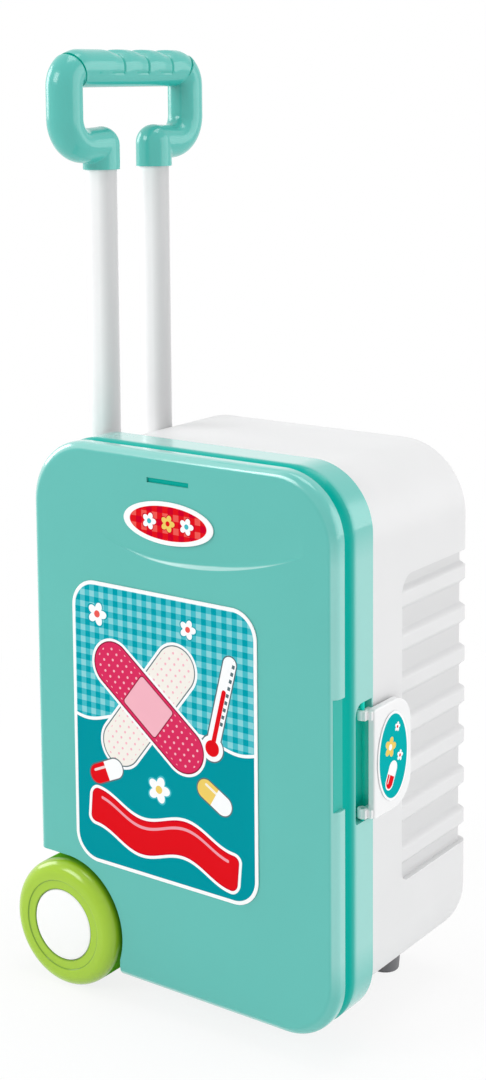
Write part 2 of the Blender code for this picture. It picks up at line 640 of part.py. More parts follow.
def build_shell():
    edge = arc((SHELL_EDGE_RADIUS, CASE_DEPTH - SHELL_EDGE_RADIUS), SHELL_EDGE_RADIUS, 180, 90, 4)
    rings = [upright(shell_outline(0), SHELL_FRONT)]
    rings += [upright(shell_outline(inset), y) for inset, y in edge]
    shell = loft("rear_shell", rings, case_frame, white_plastic)

    inner = SHELL_EDGE_RADIUS - SHELL_WALL
    floor = arc((SHELL_WALL + inner, CASE_DEPTH - SHELL_WALL - inner), inner, 180, 90, 2)
    rings = [upright(shell_outline(SHELL_WALL), SHELL_FRONT - OVERRUN)]
    rings += [upright(shell_outline(inset), y) for inset, y in floor]
    cavity = loft("shell_cavity", rings, case_frame)

    # Walls left standing inside: behind the ribbed panel, round both wells and the axle
    thick = PANEL_DEPTH + SHELL_WALL
    margin = SHELL_WALL
    panel_wall = block("panel_wall", (SHELL_RIGHT - thick, PANEL_FRONT - margin, PANEL_BOTTOM - margin),
                       (SHELL_RIGHT + OVERRUN, CASE_DEPTH, PANEL_TOP + margin), case_frame)
    back_left = SHELL_RIGHT - SHELL_EDGE_RADIUS - PANEL_BACK_LENGTH - margin
    back_wall = block("back_wall", (back_left, CASE_DEPTH - thick, PANEL_BOTTOM - margin),
                      (SHELL_RIGHT + OVERRUN, CASE_DEPTH + OVERRUN, PANEL_TOP + margin), case_frame)
    far = 2 * WHEEL_RADIUS
    well_front = WHEEL_BACK_Y - WHEEL_WIDTH - WHEEL_PLAY
    well_wall = loft("well_wall", [well_ring(WELL_RADIUS + WELL_WALL, well_front - WELL_WALL, far),
                                   well_ring(WELL_RADIUS + WELL_WALL, CASE_DEPTH + OVERRUN, far)], case_frame)
    radius = BULKHEAD_TOP - WHEEL_Z
    bulkhead = loft("bulkhead", [well_ring(radius, SHELL_FRONT - 2 * OVERRUN, far),
                                 well_ring(radius, SHELL_FRONT + BULKHEAD, far)], case_frame)
    housing = rod("axle_housing", "Y", (WHEEL_X, WHEEL_Z), AXLE_HOUSING_RADIUS,
                  SHELL_FRONT - OVERRUN, CASE_DEPTH, case_frame, steps=ROUND_STEPS)
    cut(cavity, panel_wall, back_wall, well_wall, bulkhead, housing)
    cut(shell, cavity)

    well = loft("well_cut", [well_ring(WELL_RADIUS, well_front, far),
                             well_ring(WELL_RADIUS, CASE_DEPTH + OVERRUN, far)], case_frame)
    cut(shell, panel_cutter(), well)

    axle_bore = rod("axle_bore", "Y", (WHEEL_X, WHEEL_Z), AXLE_RADIUS + SEAM_GAP,
                    WHEEL_FRONT_Y, WHEEL_BACK_Y, case_frame)
    cut(shell, axle_bore)

    for place, y in (("front", TUBE_FRONT_Y), ("back", TUBE_BACK_Y)):
        bore = rod("tube_bore_" + place, "Z", (TUBE_X, y), TUBE_RADIUS + RUN_GAP,
                   SHELL_TOP - TOP_RADIUS, SHELL_TOP + OVERRUN, case_frame, steps=ROUND_STEPS)
        cut(shell, bore)

    for place, y in (("front", FOOT_FRONT_Y), ("back", FOOT_BACK_Y)):
        boss = rod("foot_boss_" + place, "Z", (FOOT_X, y), FOOT_BOSS_RADIUS,
                   SHELL_BOTTOM + SHELL_WALL / 2, SHELL_BOTTOM + FOOT_BOSS, case_frame)
        bore = rod("foot_bore_" + place, "Z", (FOOT_X, y), SCREW_RADIUS + SEAM_GAP,
                   SHELL_BOTTOM - OVERRUN, SHELL_BOTTOM + FOOT_BOSS - SHELL_WALL, case_frame)
        cut(join(shell, boss), bore)

    for place, middle in (("low", HINGE_LOW_Z), ("high", HINGE_HIGH_Z)):
        for side, sign in (("under", -1), ("over", 1)):
            centre = middle + sign * (HINGE_KNUCKLE + RUN_GAP)
            low, high = centre - HINGE_KNUCKLE / 2, centre + HINGE_KNUCKLE / 2
            name = place + "_" + side
            knuckle = rod("shell_knuckle_" + name, "Z", (HINGE_X, HINGE_Y), HINGE_KNUCKLE_RADIUS,
                          low, high, case_frame)
            web = block("shell_web_" + name, (HINGE_X, SHELL_FRONT + SEAM_GAP, low),
                        (SHELL_LEFT + SHELL_WALL / 2, SHELL_FRONT + HINGE_WEB, high), case_frame)
            bore = rod("shell_bore_" + name, "Z", (HINGE_X, HINGE_Y), HINGE_PIN_RADIUS + SEAM_GAP,
                       low - OVERRUN, high + OVERRUN, case_frame)
            cut(join(knuckle, web), bore)
            join(shell, knuckle)

    # Posts for the channel cover and a ledge under the guide plate
    for place, z in channel_screws():
        post = rod("post_" + place, "X", (HANDLE_MID_Y, z), SCREW_BOSS_RADIUS,
                   SHELL_LEFT + SHELL_WALL / 2, CHANNEL_RIGHT - SEAM_GAP, case_frame)
        bore = rod("post_bore_" + place, "X", (HANDLE_MID_Y, z), SCREW_RADIUS + SEAM_GAP,
                   CHANNEL_RIGHT - SCREW_LENGTH, CHANNEL_RIGHT + OVERRUN, case_frame)
        cut(join(shell, post), bore)
    top = GUIDE_Z - SEAM_GAP
    ledge = block("guide_ledge",
                  (SHELL_LEFT + SHELL_WALL / 2, HANDLE_MID_Y - LEDGE_LENGTH / 2, top - LEDGE_THICK),
                  (SHELL_LEFT + SHELL_WALL + LEDGE_REACH, HANDLE_MID_Y + LEDGE_LENGTH / 2, top), case_frame)
    join(shell, ledge)

    keeper_end = HOOK_Y - KEEPER_GAP
    reach = HOOK_HEIGHT / 2
    keeper = block("keeper", (SHELL_RIGHT - SHELL_WALL / 2, keeper_end - KEEPER_LENGTH, LATCH_Z - reach),
                   (SHELL_RIGHT + KEEPER_PROUD, keeper_end, LATCH_Z + reach), case_frame)
    join(shell, keeper)
    return shell


def channel_screws():
    """Names and heights of the two screws: one just over the guide plate, one under the stop bar."""
    return (("upper", GUIDE_Z + GUIDE_THICK + SEAM_GAP + SCREW_BOSS_RADIUS),
            ("lower", CHANNEL_LOW + SEAM_GAP + SCREW_BOSS_RADIUS))


def build_hinge_pins():
    for place, middle in (("lower", HINGE_LOW_Z), ("upper", HINGE_HIGH_Z)):
        reach = HINGE_KNUCKLE + HINGE_KNUCKLE / 2 + RUN_GAP
        top = middle + reach + SEAM_GAP
        turned("hinge_pin_" + place, "Z", (HINGE_X, HINGE_Y),
               [(HINGE_PIN_RADIUS, middle - reach), (HINGE_PIN_RADIUS, top),
                (HINGE_HEAD_RADIUS, top), (HINGE_HEAD_RADIUS, top + HINGE_HEAD)],
               case_frame, steel, SMALL_STEPS)


# Latch

def build_latch():
    half = LATCH_HEIGHT / 2
    low, high = LATCH_Z - half, LATCH_Z + half
    big, small = LATCH_FREE_RADIUS, LATCH_HINGE_RADIUS
    outline = arc((LATCH_BACK - big, low + big), big, -90, 0)
    outline += arc((LATCH_BACK - big, high - big), big, 0, 90)
    outline += arc((LATCH_FRONT + small, high - small), small, 90, 180, 3)
    outline += arc((LATCH_FRONT + small, low + small), small, 180, 270, 3)
    inner = CASE_WIDTH + LATCH_STANDOFF
    plate = loft("latch_plate", [sideways(outline, inner), sideways(outline, LATCH_FACE)],
                 latch_axis, white_plastic)
    bevel(plate, LATCH_EDGE, 2)

    for place, start in (("low", low), ("high", high - LATCH_LUG)):
        start += LATCH_EDGE / 2
        end = start + LATCH_LUG - LATCH_EDGE
        outer = LATCH_FACE - LATCH_EDGE
        outline = [(outer, LATCH_FRONT + LATCH_EDGE), (outer, LATCH_FRONT + LATCH_LUG)]
        outline += [(inner + LATCH_EDGE, LATCH_FRONT + LATCH_LUG)]
        outline += arc((LATCH_PIN_X, LATCH_PIN_Y), LATCH_LUG_RADIUS, 90, 270)
        lug = loft("latch_lug_" + place, [level(outline, start), level(outline, end)], latch_axis)
        join(plate, lug)
    hook = block("latch_hook", (inner - HOOK_REACH, HOOK_Y, LATCH_Z - HOOK_HEIGHT / 2),
                 (inner + LATCH_THICK / 2, HOOK_Y + HOOK_LENGTH, LATCH_Z + HOOK_HEIGHT / 2), latch_axis)
    bore = rod("latch_bore", "Z", (LATCH_PIN_X, LATCH_PIN_Y), LATCH_PIN_RADIUS + SEAM_GAP,
               low - OVERRUN, high + OVERRUN, latch_axis)
    join(plate, hook)
    cut(plate, bore)

    for place, seat, lug in (("lower", POCKET_LOW - PIN_SEAT / 2, low + LATCH_LUG - LATCH_EDGE),
                             ("upper", POCKET_HIGH + PIN_SEAT / 2, high - LATCH_LUG + LATCH_EDGE)):
        start, end = sorted((seat, lug))
        rod("latch_pin_" + place, "Z", (LATCH_PIN_X, LATCH_PIN_Y), LATCH_PIN_RADIUS,
            start + SEAM_GAP, end - SEAM_GAP, lid_axis, steel)


def ellipse(centre, half_width, half_height, steps=ROUND_STEPS):
    points = []
    for step in range(steps):
        angle = 2 * math.pi * step / steps
        points.append((centre[0] + half_width * math.cos(angle), centre[1] + half_height * math.sin(angle)))
    return points


def build_labels():
    back, front = -SEAM_GAP, -SEAM_GAP - LABEL_THICK
    outline = rounded(LABEL_LEFT, LABEL_RIGHT, LABEL_LOW, LABEL_HIGH, LABEL_RADIUS, LABEL_RADIUS)
    loft("front_label", [upright(outline, back), upright(outline, front)], lid_axis, front_print)
    outline = ellipse((BADGE_X, BADGE_Z), BADGE_HALF_WIDTH, BADGE_HALF_HEIGHT)
    loft("badge_label", [upright(outline, back), upright(outline, front)], lid_axis, badge_print)
    outline = ellipse((LATCH_LABEL_Y, LATCH_Z), LATCH_LABEL_HALF_WIDTH, LATCH_LABEL_HALF_HEIGHT)
    loft("latch_label", [sideways(outline, LATCH_FACE + SEAM_GAP), sideways(outline, LATCH_OUTER)],
         latch_axis, latch_print)


# Wheels and axle

def build_wheel(place, carrier, face, inward):
    """A hollow tyre with a web, a hub boss and a white cap, its outer face at a depth."""
    def at(depth):
        return face + inward * depth

    core = WHEEL_RADIUS - TYRE_ROUND
    shoulder = [(core + TYRE_ROUND * math.cos(angle), TYRE_ROUND * (1 - math.sin(angle)))
                for angle in (math.radians(a) for a in (80, 60, 40, 20, 0))]
    inner = WHEEL_RADIUS - TYRE_WALL
    back_round = TYRE_ROUND / 3
    profile = [(HUB_RADIUS, HUB_SINK + HUB_CAP_THICK), (HUB_RADIUS, TYRE_STEP), (TYRE_STEP_RADIUS, TYRE_STEP)]
    profile += [(TYRE_STEP_RADIUS, 0)]
    profile += shoulder
    profile += [(WHEEL_RADIUS, WHEEL_WIDTH - back_round), (WHEEL_RADIUS - back_round, WHEEL_WIDTH)]
    profile += [(inner - back_round, WHEEL_WIDTH), (inner, WHEEL_WIDTH - back_round)]
    profile += [(inner, HUB_SINK + HUB_CAP_THICK + WEB_THICK)]
    profile += [(HUB_BOSS_RADIUS, HUB_SINK + HUB_CAP_THICK + WEB_THICK), (HUB_BOSS_RADIUS, WHEEL_WIDTH)]
    wheel = turned("wheel_" + place, "Y", (WHEEL_X, WHEEL_Z), [(r, at(d)) for r, d in profile],
                   carrier, green_plastic, ROUND_STEPS + CORNER_STEPS)
    bore = rod("wheel_bore_" + place, "Y", (WHEEL_X, WHEEL_Z), AXLE_RADIUS + SEAM_GAP,
               at(-OVERRUN), at(WHEEL_WIDTH + OVERRUN), carrier)
    recess_radius = RETAINER_RADIUS + RUN_GAP
    recess = rod("retainer_recess_" + place, "Y", (WHEEL_X, WHEEL_Z), recess_radius,
                 at(-OVERRUN), at(HUB_SINK + HUB_CAP_THICK + RETAINER_THICK + RUN_GAP), carrier)
    cut(wheel, bore, recess)

    rim = HUB_RADIUS - SEAM_GAP
    back = HUB_SINK + HUB_CAP_THICK - SEAM_GAP
    turned("hub_cap_" + place, "Y", (WHEEL_X, WHEEL_Z),
           [(rim - HUB_CAP_EDGE, at(HUB_SINK)), (rim, at(HUB_SINK + HUB_CAP_EDGE)), (rim, at(back))],
           carrier, white_plastic, ROUND_STEPS + CORNER_STEPS)


def build_axle():
    """A steel axle with a push-on retainer at each end, under the caps."""
    depth = HUB_SINK + HUB_CAP_THICK + SEAM_GAP
    rod("axle", "Y", (WHEEL_X, WHEEL_Z), AXLE_RADIUS, WHEEL_FRONT_Y + depth, WHEEL_BACK_Y - depth,
        case_frame, steel)
    for place, face, inward in (("front", WHEEL_FRONT_Y, 1), ("back", WHEEL_BACK_Y, -1)):
        start = face + inward * depth
        ring = rod("axle_retainer_" + place, "Y", (WHEEL_X, WHEEL_Z), RETAINER_RADIUS,
                   start, start + inward * (RETAINER_THICK - SEAM_GAP), case_frame, steel)
        hole = rod("retainer_hole_" + place, "Y", (WHEEL_X, WHEEL_Z), AXLE_RADIUS + SEAM_GAP,
                   start - OVERRUN, start + OVERRUN, case_frame)
        cut(ring, hole)


def build_spacer():
    """The sleeve that keeps the front wheel clear of the shell's bulkhead."""
    start, end = WHEEL_FRONT_Y + WHEEL_WIDTH + WHEEL_PLAY, SHELL_FRONT - SEAM_GAP
    sleeve = rod("axle_spacer", "Y", (WHEEL_X, WHEEL_Z), SPACER_RADIUS, start, end, case_frame, grey_plastic)
    bore = rod("spacer_bore", "Y", (WHEEL_X, WHEEL_Z), AXLE_RADIUS + SEAM_GAP,
               start - OVERRUN, end + OVERRUN, case_frame)
    cut(sleeve, bore)


def build_feet():
    seat = GROUND_Z + FOOT_HEIGHT - FOOT_FLOOR
    for place, y in (("front", FOOT_FRONT_Y), ("back", FOOT_BACK_Y)):
        top = GROUND_Z + FOOT_HEIGHT
        foot = turned("foot_" + place, "Z", (FOOT_X, y),
                      [(FOOT_RADIUS - FOOT_TAPER - FOOT_EDGE, GROUND_Z),
                       (FOOT_RADIUS - FOOT_TAPER, GROUND_Z + FOOT_EDGE), (FOOT_RADIUS, top)],
                      case_frame, grey_plastic)
        recess = rod("foot_recess_" + place, "Z", (FOOT_X, y), SCREW_HEAD_RADIUS + RUN_GAP,
                     GROUND_Z - OVERRUN, seat, case_frame)
        hole = rod("foot_hole_" + place, "Z", (FOOT_X, y), SCREW_RADIUS + SEAM_GAP,
                   seat - OVERRUN, top + OVERRUN, case_frame)
        cut(foot, recess, hole)
        screw("foot_screw_" + place, "Z", (FOOT_X, y), seat - SEAM_GAP, -1, FOOT_SCREW_LENGTH, case_frame)


# Pull handle

def arm_outline(inset, side):
    """Side view of one end of the grip: outer bend, upright, foot and elbow, drawn in by an inset."""
    outer = inset - GRIP_HALF_WIDTH
    inner = GRIP_SECTION - GRIP_HALF_WIDTH - inset
    reach = COLLAR_RADIUS - TUBE_SPACING / 2 - SEAM_GAP - inset
    top, low = GRIP_TOP + BAR_STEP - inset, GRIP_FOOT_BOTTOM + inset
    bend, low_bend = GRIP_OUTER_RADIUS - inset, GRIP_LOW_RADIUS - inset
    elbow = min(GRIP_FOOT_RADIUS - inset, (GRIP_FOOT_TOP - inset - low) * ELBOW_SHARE)
    heel = max(GRIP_HEEL_RADIUS - inset, BEND_MIN_RADIUS)
    corner = GRIP_INNER_RADIUS + inset
    outline = [(GRIP_SECTION - GRIP_HALF_WIDTH, GRIP_TOP - BAR_RADIUS)]
    outline += arc((outer + bend, top - bend), bend, 90 + BAR_BEND, 180)
    outline += arc((outer + low_bend, low + low_bend), low_bend, 180, 270)
    outline += arc((reach - heel, low + heel), heel, -90, 0, 4)
    outline += arc((reach - elbow, GRIP_FOOT_TOP - inset - elbow), elbow, 0, 90)
    outline += arc((inner + corner, GRIP_FOOT_TOP - inset + corner), corner, 270, 180, 3)
    outline += [(inner, GRIP_TOP - BAR_RADIUS - BAR_RADIUS / 2)]
    return [(HANDLE_MID_Y + side * y, z) for y, z in outline]


def grip_arm(place, side):
    half = GRIP_WIDTH / 2
    core = half - GRIP_ROUND
    rings = []
    for across, sign in ((range(0, 5), -1), (range(4, -1, -1), 1)):
        for step in across:
            angle = math.radians(90 * step / 4)
            inset = GRIP_ROUND * (1 - math.sin(angle))
            x = TUBE_X + sign * (core + GRIP_ROUND * math.cos(angle))
            rings.append(sideways(arm_outline(inset, side), x))
    return loft("grip_arm_" + place, rings, handle_axis)


def bar_ring(centre, turn, depth):
    """One ring of the bar: round below, with its upper part drawn in by a depth."""
    ring = []
    for step in range(ROUND_STEPS):
        angle = 2 * math.pi * step / ROUND_STEPS
        upper = min(max(math.sin(angle) + FINGER_SIDE_SHARE, 0) * 2, 1)
        radius = BAR_RADIUS - depth * upper
        out = radius * math.sin(angle)
        ring.append((TUBE_X + radius * math.cos(angle), centre[0] + out * math.sin(turn),
                     centre[1] + out * math.cos(turn)))
    return ring


def grip_bar():
    """The hand bar: straight between the bends, with three finger creases along its upper side."""
    centre_z = GRIP_TOP - BAR_RADIUS
    straight = GRIP_HALF_WIDTH - GRIP_OUTER_RADIUS
    pivot_z = GRIP_TOP + BAR_STEP - GRIP_OUTER_RADIUS
    reach = centre_z - pivot_z
    bends = [math.radians(BAR_BEND + BAR_BURIED) * step / 4 for step in range(4, -1, -1)]

    def bend_ring(turn, side):
        centre = (HANDLE_MID_Y + side * (straight + reach * math.sin(turn)), pivot_z + reach * math.cos(turn))
        return bar_ring(centre, side * turn, 0)

    rings = [bend_ring(turn, -1) for turn in bends]
    first = HANDLE_MID_Y - FINGER_COUNT * FINGER_PITCH / 2
    for finger in range(FINGER_COUNT):
        for share in FINGER_SHARES:
            wave = abs(math.cos(math.pi * share)) ** FINGER_SHARPNESS
            y = first + (finger + share) * FINGER_PITCH
            rings.append(bar_ring((y, centre_z), 0, FINGER_DEPTH_MAX * (1 - wave)))
    rings.append(bar_ring((first + FINGER_COUNT * FINGER_PITCH, centre_z), 0, 0))
    rings += [bend_ring(turn, 1) for turn in reversed(bends)]
    return loft("grip", rings, handle_axis, teal_plastic)


def build_handle():
    grip = grip_bar()
    join(grip, grip_arm("front", 1), grip_arm("back", -1))
    for place, y in (("front", TUBE_FRONT_Y), ("back", TUBE_BACK_Y)):
        collar = rod("collar_" + place, "Z", (TUBE_X, y), COLLAR_RADIUS, COLLAR_Z,
                     GRIP_FOOT_TOP - GRIP_FOOT_RADIUS, handle_axis, steps=ROUND_STEPS)
        join(grip, collar)
        socket = rod("tube_socket_" + place, "Z", (TUBE_X, y), TUBE_RADIUS + SEAM_GAP,
                     COLLAR_Z - OVERRUN, COLLAR_Z + SOCKET_DEPTH, handle_axis, steps=ROUND_STEPS)
        cut(grip, socket)

    screw_z = COLLAR_Z + SOCKET_DEPTH / 2 + SCREW_RADIUS
    seat = TUBE_X - GRIP_WIDTH / 2 + SCREW_HEAD + SEAM_GAP
    for place, y in (("front", TUBE_FRONT_Y), ("back", TUBE_BACK_Y)):
        recess = rod("screw_recess_" + place, "X", (y, screw_z), SCREW_HEAD_RADIUS + RUN_GAP,
                     TUBE_X - GRIP_WIDTH / 2 - OVERRUN, seat, handle_axis)
        hole = rod("screw_hole_" + place, "X", (y, screw_z), SCREW_RADIUS + SEAM_GAP,
                   seat - OVERRUN, TUBE_X, handle_axis)
        cut(grip, recess, hole)
        screw("grip_screw_" + place, "X", (y, screw_z), seat - SEAM_GAP, -1, GRIP_SCREW_LENGTH, handle_axis)

    stop_top = GUIDE_Z - RUN_GAP
    tube_low = stop_top + SEAM_GAP
    for place, y in (("front", TUBE_FRONT_Y), ("back", TUBE_BACK_Y)):
        tube = rod("tube_" + place, "Z", (TUBE_X, y), TUBE_RADIUS, tube_low,
                   COLLAR_Z + SOCKET_DEPTH - SEAM_GAP, handle_axis, white_plastic, ROUND_STEPS)
        hollow = rod("tube_hollow_" + place, "Z", (TUBE_X, y), TUBE_RADIUS - TUBE_WALL,
                     tube_low - OVERRUN, COLLAR_Z + SOCKET_DEPTH + OVERRUN, handle_axis, steps=ROUND_STEPS)
        hole = rod("tube_hole_" + place, "X", (y, screw_z), SCREW_RADIUS + SEAM_GAP,
                   TUBE_X - TUBE_RADIUS - OVERRUN, TUBE_X, handle_axis)
        cut(tube, hollow, hole)

    # Stop bar across the lower ends, with a spigot up each tube
    reach = TUBE_RADIUS + STOP_MARGIN
    bar = block("stop_bar", (TUBE_X - reach, TUBE_FRONT_Y - TUBE_RADIUS, stop_top - STOP_HEIGHT),
                (TUBE_X + reach, TUBE_BACK_Y + reach, stop_top), handle_axis, grey_plastic)
    for place, y in (("front", TUBE_FRONT_Y), ("back", TUBE_BACK_Y)):
        spigot = rod("stop_spigot_" + place, "Z", (TUBE_X, y), TUBE_RADIUS - TUBE_WALL - SEAM_GAP,
                     stop_top - STOP_HEIGHT / 2, stop_top + STOP_SPIGOT, handle_axis, steps=ROUND_STEPS)
        join(bar, spigot)


def build_channel():
    """The guide plate and the cover that closes the handle off from the case's inside."""
    low_x = SHELL_LEFT + SHELL_WALL + SEAM_GAP
    guide = block("guide_plate", (low_x, CHANNEL_FRONT + SEAM_GAP, GUIDE_Z),
                  (CHANNEL_RIGHT - SEAM_GAP, CHANNEL_BACK - SEAM_GAP, GUIDE_Z + GUIDE_THICK),
                  case_frame, grey_plastic)
    for place, y in (("front", TUBE_FRONT_Y), ("back", TUBE_BACK_Y)):
        bore = rod("guide_bore_" + place, "Z", (TUBE_X, y), TUBE_RADIUS + RUN_GAP,
                   GUIDE_Z - OVERRUN, GUIDE_Z + GUIDE_THICK + OVERRUN, case_frame, steps=ROUND_STEPS)
        cut(guide, bore)

    wall = CHANNEL_WALL
    front, right, back = CHANNEL_FRONT, CHANNEL_RIGHT, CHANNEL_BACK
    outline = [(low_x, front), (right, front), (right, back), (low_x, back),
               (low_x, back + wall), (right + wall, back + wall),
               (right + wall, front - wall), (low_x, front - wall)]
    cover = loft("channel_cover", [level(outline, CHANNEL_LOW), level(outline, SHELL_TOP)],
                 case_frame, white_plastic)
    inside = shell_outline(SHELL_WALL + SEAM_GAP)
    room = loft("cover_room", [upright(inside, SHELL_FRONT - OVERRUN), upright(inside, CASE_DEPTH)],
                case_frame)
    boolean(cover, room, "INTERSECT")
    notch = block("cover_notch", (SHELL_LEFT, SHELL_FRONT - OVERRUN, CHANNEL_LOW - OVERRUN),
                  (CHANNEL_RIGHT + OVERRUN, SHELL_FRONT + BULKHEAD + RUN_GAP, BULKHEAD_TOP + RUN_GAP),
                  case_frame)
    cut(cover, notch)
    for place, z in channel_screws():
        hole = rod("cover_hole_" + place, "X", (HANDLE_MID_Y, z), SCREW_RADIUS + SEAM_GAP,
                   CHANNEL_RIGHT - OVERRUN, CHANNEL_RIGHT + OVERRUN, case_frame)
        cut(cover, hole)
        screw("channel_screw_" + place, "X", (HANDLE_MID_Y, z), CHANNEL_RIGHT + wall + SEAM_GAP, 1,
              SCREW_LENGTH, case_frame)


build_lid()
build_shell()
build_hinge_pins()
build_latch()
build_labels()
build_wheel("front", front_wheel_axis, WHEEL_FRONT_Y, 1)
build_wheel("back", back_wheel_axis, WHEEL_BACK_Y, -1)
build_axle()
build_spacer()
build_feet()
build_handle()
build_channel()
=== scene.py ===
import json
import math

import bpy
from mathutils import Matrix, Vector


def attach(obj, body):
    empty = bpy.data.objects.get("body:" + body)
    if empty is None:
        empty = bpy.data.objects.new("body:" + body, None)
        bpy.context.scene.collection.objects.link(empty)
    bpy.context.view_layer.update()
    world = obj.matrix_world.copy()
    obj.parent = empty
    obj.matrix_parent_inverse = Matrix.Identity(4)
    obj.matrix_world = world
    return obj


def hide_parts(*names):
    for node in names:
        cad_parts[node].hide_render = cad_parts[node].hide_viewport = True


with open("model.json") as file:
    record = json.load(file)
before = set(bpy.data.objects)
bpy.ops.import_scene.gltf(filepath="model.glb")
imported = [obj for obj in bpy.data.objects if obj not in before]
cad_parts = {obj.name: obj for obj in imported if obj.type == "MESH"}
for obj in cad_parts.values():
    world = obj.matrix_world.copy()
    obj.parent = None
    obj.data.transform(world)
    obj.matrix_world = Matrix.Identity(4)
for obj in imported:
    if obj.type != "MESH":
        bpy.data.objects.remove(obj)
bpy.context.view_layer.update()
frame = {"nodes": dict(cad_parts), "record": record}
scene = bpy.context.scene
mm = 0.001
caseCorner = Vector((-0.11525, -0.08325, 0.0173))  # lower left front corner of the lid, in the row frame
print("frame loaded:", len(frame["nodes"]), "nodes")


# Small tools. All lengths are in millimetres from the lid's lower left front corner.
def at(x, y, z):
    return caseCorner + Vector((x, y, z)) * mm


def clearPick():
    if bpy.context.mode != "OBJECT":
        bpy.ops.object.mode_set(mode="OBJECT")
    bpy.ops.object.select_all(action="DESELECT")


def pick(obj):
    clearPick()
    obj.select_set(True)
    bpy.context.view_layer.objects.active = obj


def editAll(obj, kind="FACE"):
    pick(obj)
    bpy.ops.object.mode_set(mode="EDIT")
    bpy.ops.mesh.select_mode(type=kind)
    bpy.ops.mesh.select_all(action="SELECT")


def editChosen(obj, kind, chosen):
    # edit mode with only those parts selected that a function names
    editAll(obj, kind)
    bpy.ops.mesh.select_all(action="DESELECT")
    bpy.ops.object.mode_set(mode="OBJECT")
    for part in chosen(obj.data):
        part.select = True
    bpy.ops.object.mode_set(mode="EDIT")


def applyStep(obj, name, kind, **settings):
    pick(obj)
    step = obj.modifiers.new(name, kind)
    for key, value in settings.items():
        setattr(step, key, value)
    bpy.ops.object.modifier_apply(modifier=step.name)


def settle(name):
    # names the new primitive and puts its place in its mesh
    obj = bpy.context.object
    obj.name = name
    bpy.ops.object.transform_apply(location=True, rotation=True, scale=True)
    return obj


def spot(facing, level, across, up):
    # a point of a plane that faces an axis, or a factor for each direction
    return {"Y": (across, level, up), "X": (level, across, up), "Z": (across, up, level)}[facing]


facingTurn = {"Y": (math.pi / 2, 0, 0), "X": (math.pi / 2, 0, math.pi / 2), "Z": (0, 0, 0)}


def push(facing, move):
    # extrudes what is selected along an axis
    step = [move * mm * (axis == facing) for axis in "XYZ"]
    bpy.ops.mesh.extrude_region_move(TRANSFORM_OT_translate={"value": step})


def stretch(factor, centre):
    # scales what is selected about a point
    bpy.ops.transform.resize(value=factor, center_override=at(*centre))


def roundOff(radius, steps, what):
    # rounds the selected corners or edges
    bpy.ops.mesh.bevel(offset=radius * mm, offset_type="OFFSET", segments=steps, profile=0.5, affect=what)
    bpy.ops.object.mode_set(mode="OBJECT")


def faceOut(obj):
    editAll(obj)
    bpy.ops.mesh.normals_make_consistent(inside=False)
    bpy.ops.object.mode_set(mode="OBJECT")
    return obj


def plate(name, facing, level, left, right, low, high, radii=(), segments=24):
    # a flat face with round corners, whose radii run from the lower left, anticlockwise
    clearPick()
    middle = spot(facing, level, (left + right) / 2, (low + high) / 2)
    bpy.ops.mesh.primitive_plane_add(size=1, location=at(*middle), rotation=facingTurn[facing])
    bpy.context.object.scale = ((right - left) * mm, (high - low) * mm, 1)
    obj = settle(name)
    for corner, radius in zip(((left, low), (right, low), (right, high), (left, high)), radii):
        if radius:
            place = at(*spot(facing, level, *corner))
            editChosen(obj, "VERT", lambda data: [min(data.vertices, key=lambda v: (v.co - place).length)])
            roundOff(radius, segments, "VERTICES")
    return obj


def pull(obj, facing, centre, size, steps):
    # extrudes the face back through (depth, inset) steps, drawing it in or out about its centre
    editAll(obj)
    depth, inset = steps[0]
    for nextDepth, nextInset in steps[1:]:
        push(facing, nextDepth - depth)
        if nextInset != inset:
            a, b = ((s - 2 * nextInset) / (s - 2 * inset) for s in size)
            stretch(spot(facing, 1, a, b), centre)
        depth, inset = nextDepth, nextInset
    return faceOut(obj)


def drawn(name, facing, edges, radii, rows, segments=24):
    # a plate pulled back through (depth, inset) steps from its left, right, low and high edges
    left, right, low, high = edges
    depth, inset = rows[0]
    obj = plate(name, facing, depth, left + inset, right - inset, low + inset, high - inset, radii, segments)
    middle = spot(facing, depth, (left + right) / 2, (low + high) / 2)
    return pull(obj, facing, middle, (right - left, high - low), rows)


def block(name, facing, edges, start, end, radii=(), segments=24):
    return drawn(name, facing, edges, radii, [(start, 0), (end, 0)], segments)


def combine(obj, others, operation):
    for other in others:
        applyStep(obj, operation.lower(), "BOOLEAN", operation=operation, object=other)
        bpy.data.objects.remove(other)
    return obj


def carve(obj, *cutters):
    return combine(obj, cutters, "DIFFERENCE")


def weld(obj, *others):
    return combine(obj, others, "UNION")


def box(name, low, high):
    clearPick()
    bpy.ops.mesh.primitive_cube_add(size=1, location=at(*((a + b) / 2 for a, b in zip(low, high))))
    bpy.context.object.scale = [(b - a) * mm for a, b in zip(low, high)]
    return settle(name)


def turned(name, axis, centre, profile, segments=96):
    # a closed body round an axis from (radius, place) steps
    clearPick()
    radius, place = profile[0]
    first = spot(axis, place, *centre)
    turn = {"X": (0, math.pi / 2, 0), "Y": (math.pi / 2, 0, 0), "Z": (0, 0, 0)}[axis]
    bpy.ops.mesh.primitive_circle_add(vertices=segments, radius=radius * mm, fill_type="NGON",
                                      location=at(*first), rotation=turn)
    obj = settle(name)
    editAll(obj)
    for nextRadius, nextPlace in profile[1:]:
        push(axis, nextPlace - place)
        if nextRadius != radius:
            k = nextRadius / radius
            stretch(spot(axis, 1, k, k), first)
        radius, place = nextRadius, nextPlace
    return faceOut(obj)


def rod(name, axis, centre, radius, start, end, segments=64):
    return turned(name, axis, centre, [(radius, start), (radius, end)], segments)


def softRod(name, axis, centre, radius, start, end, edge, segments):
    rows = [(radius - edge, start), (radius, start + edge), (radius, end - edge), (radius - edge, end)]
    return turned(name, axis, centre, rows, segments)


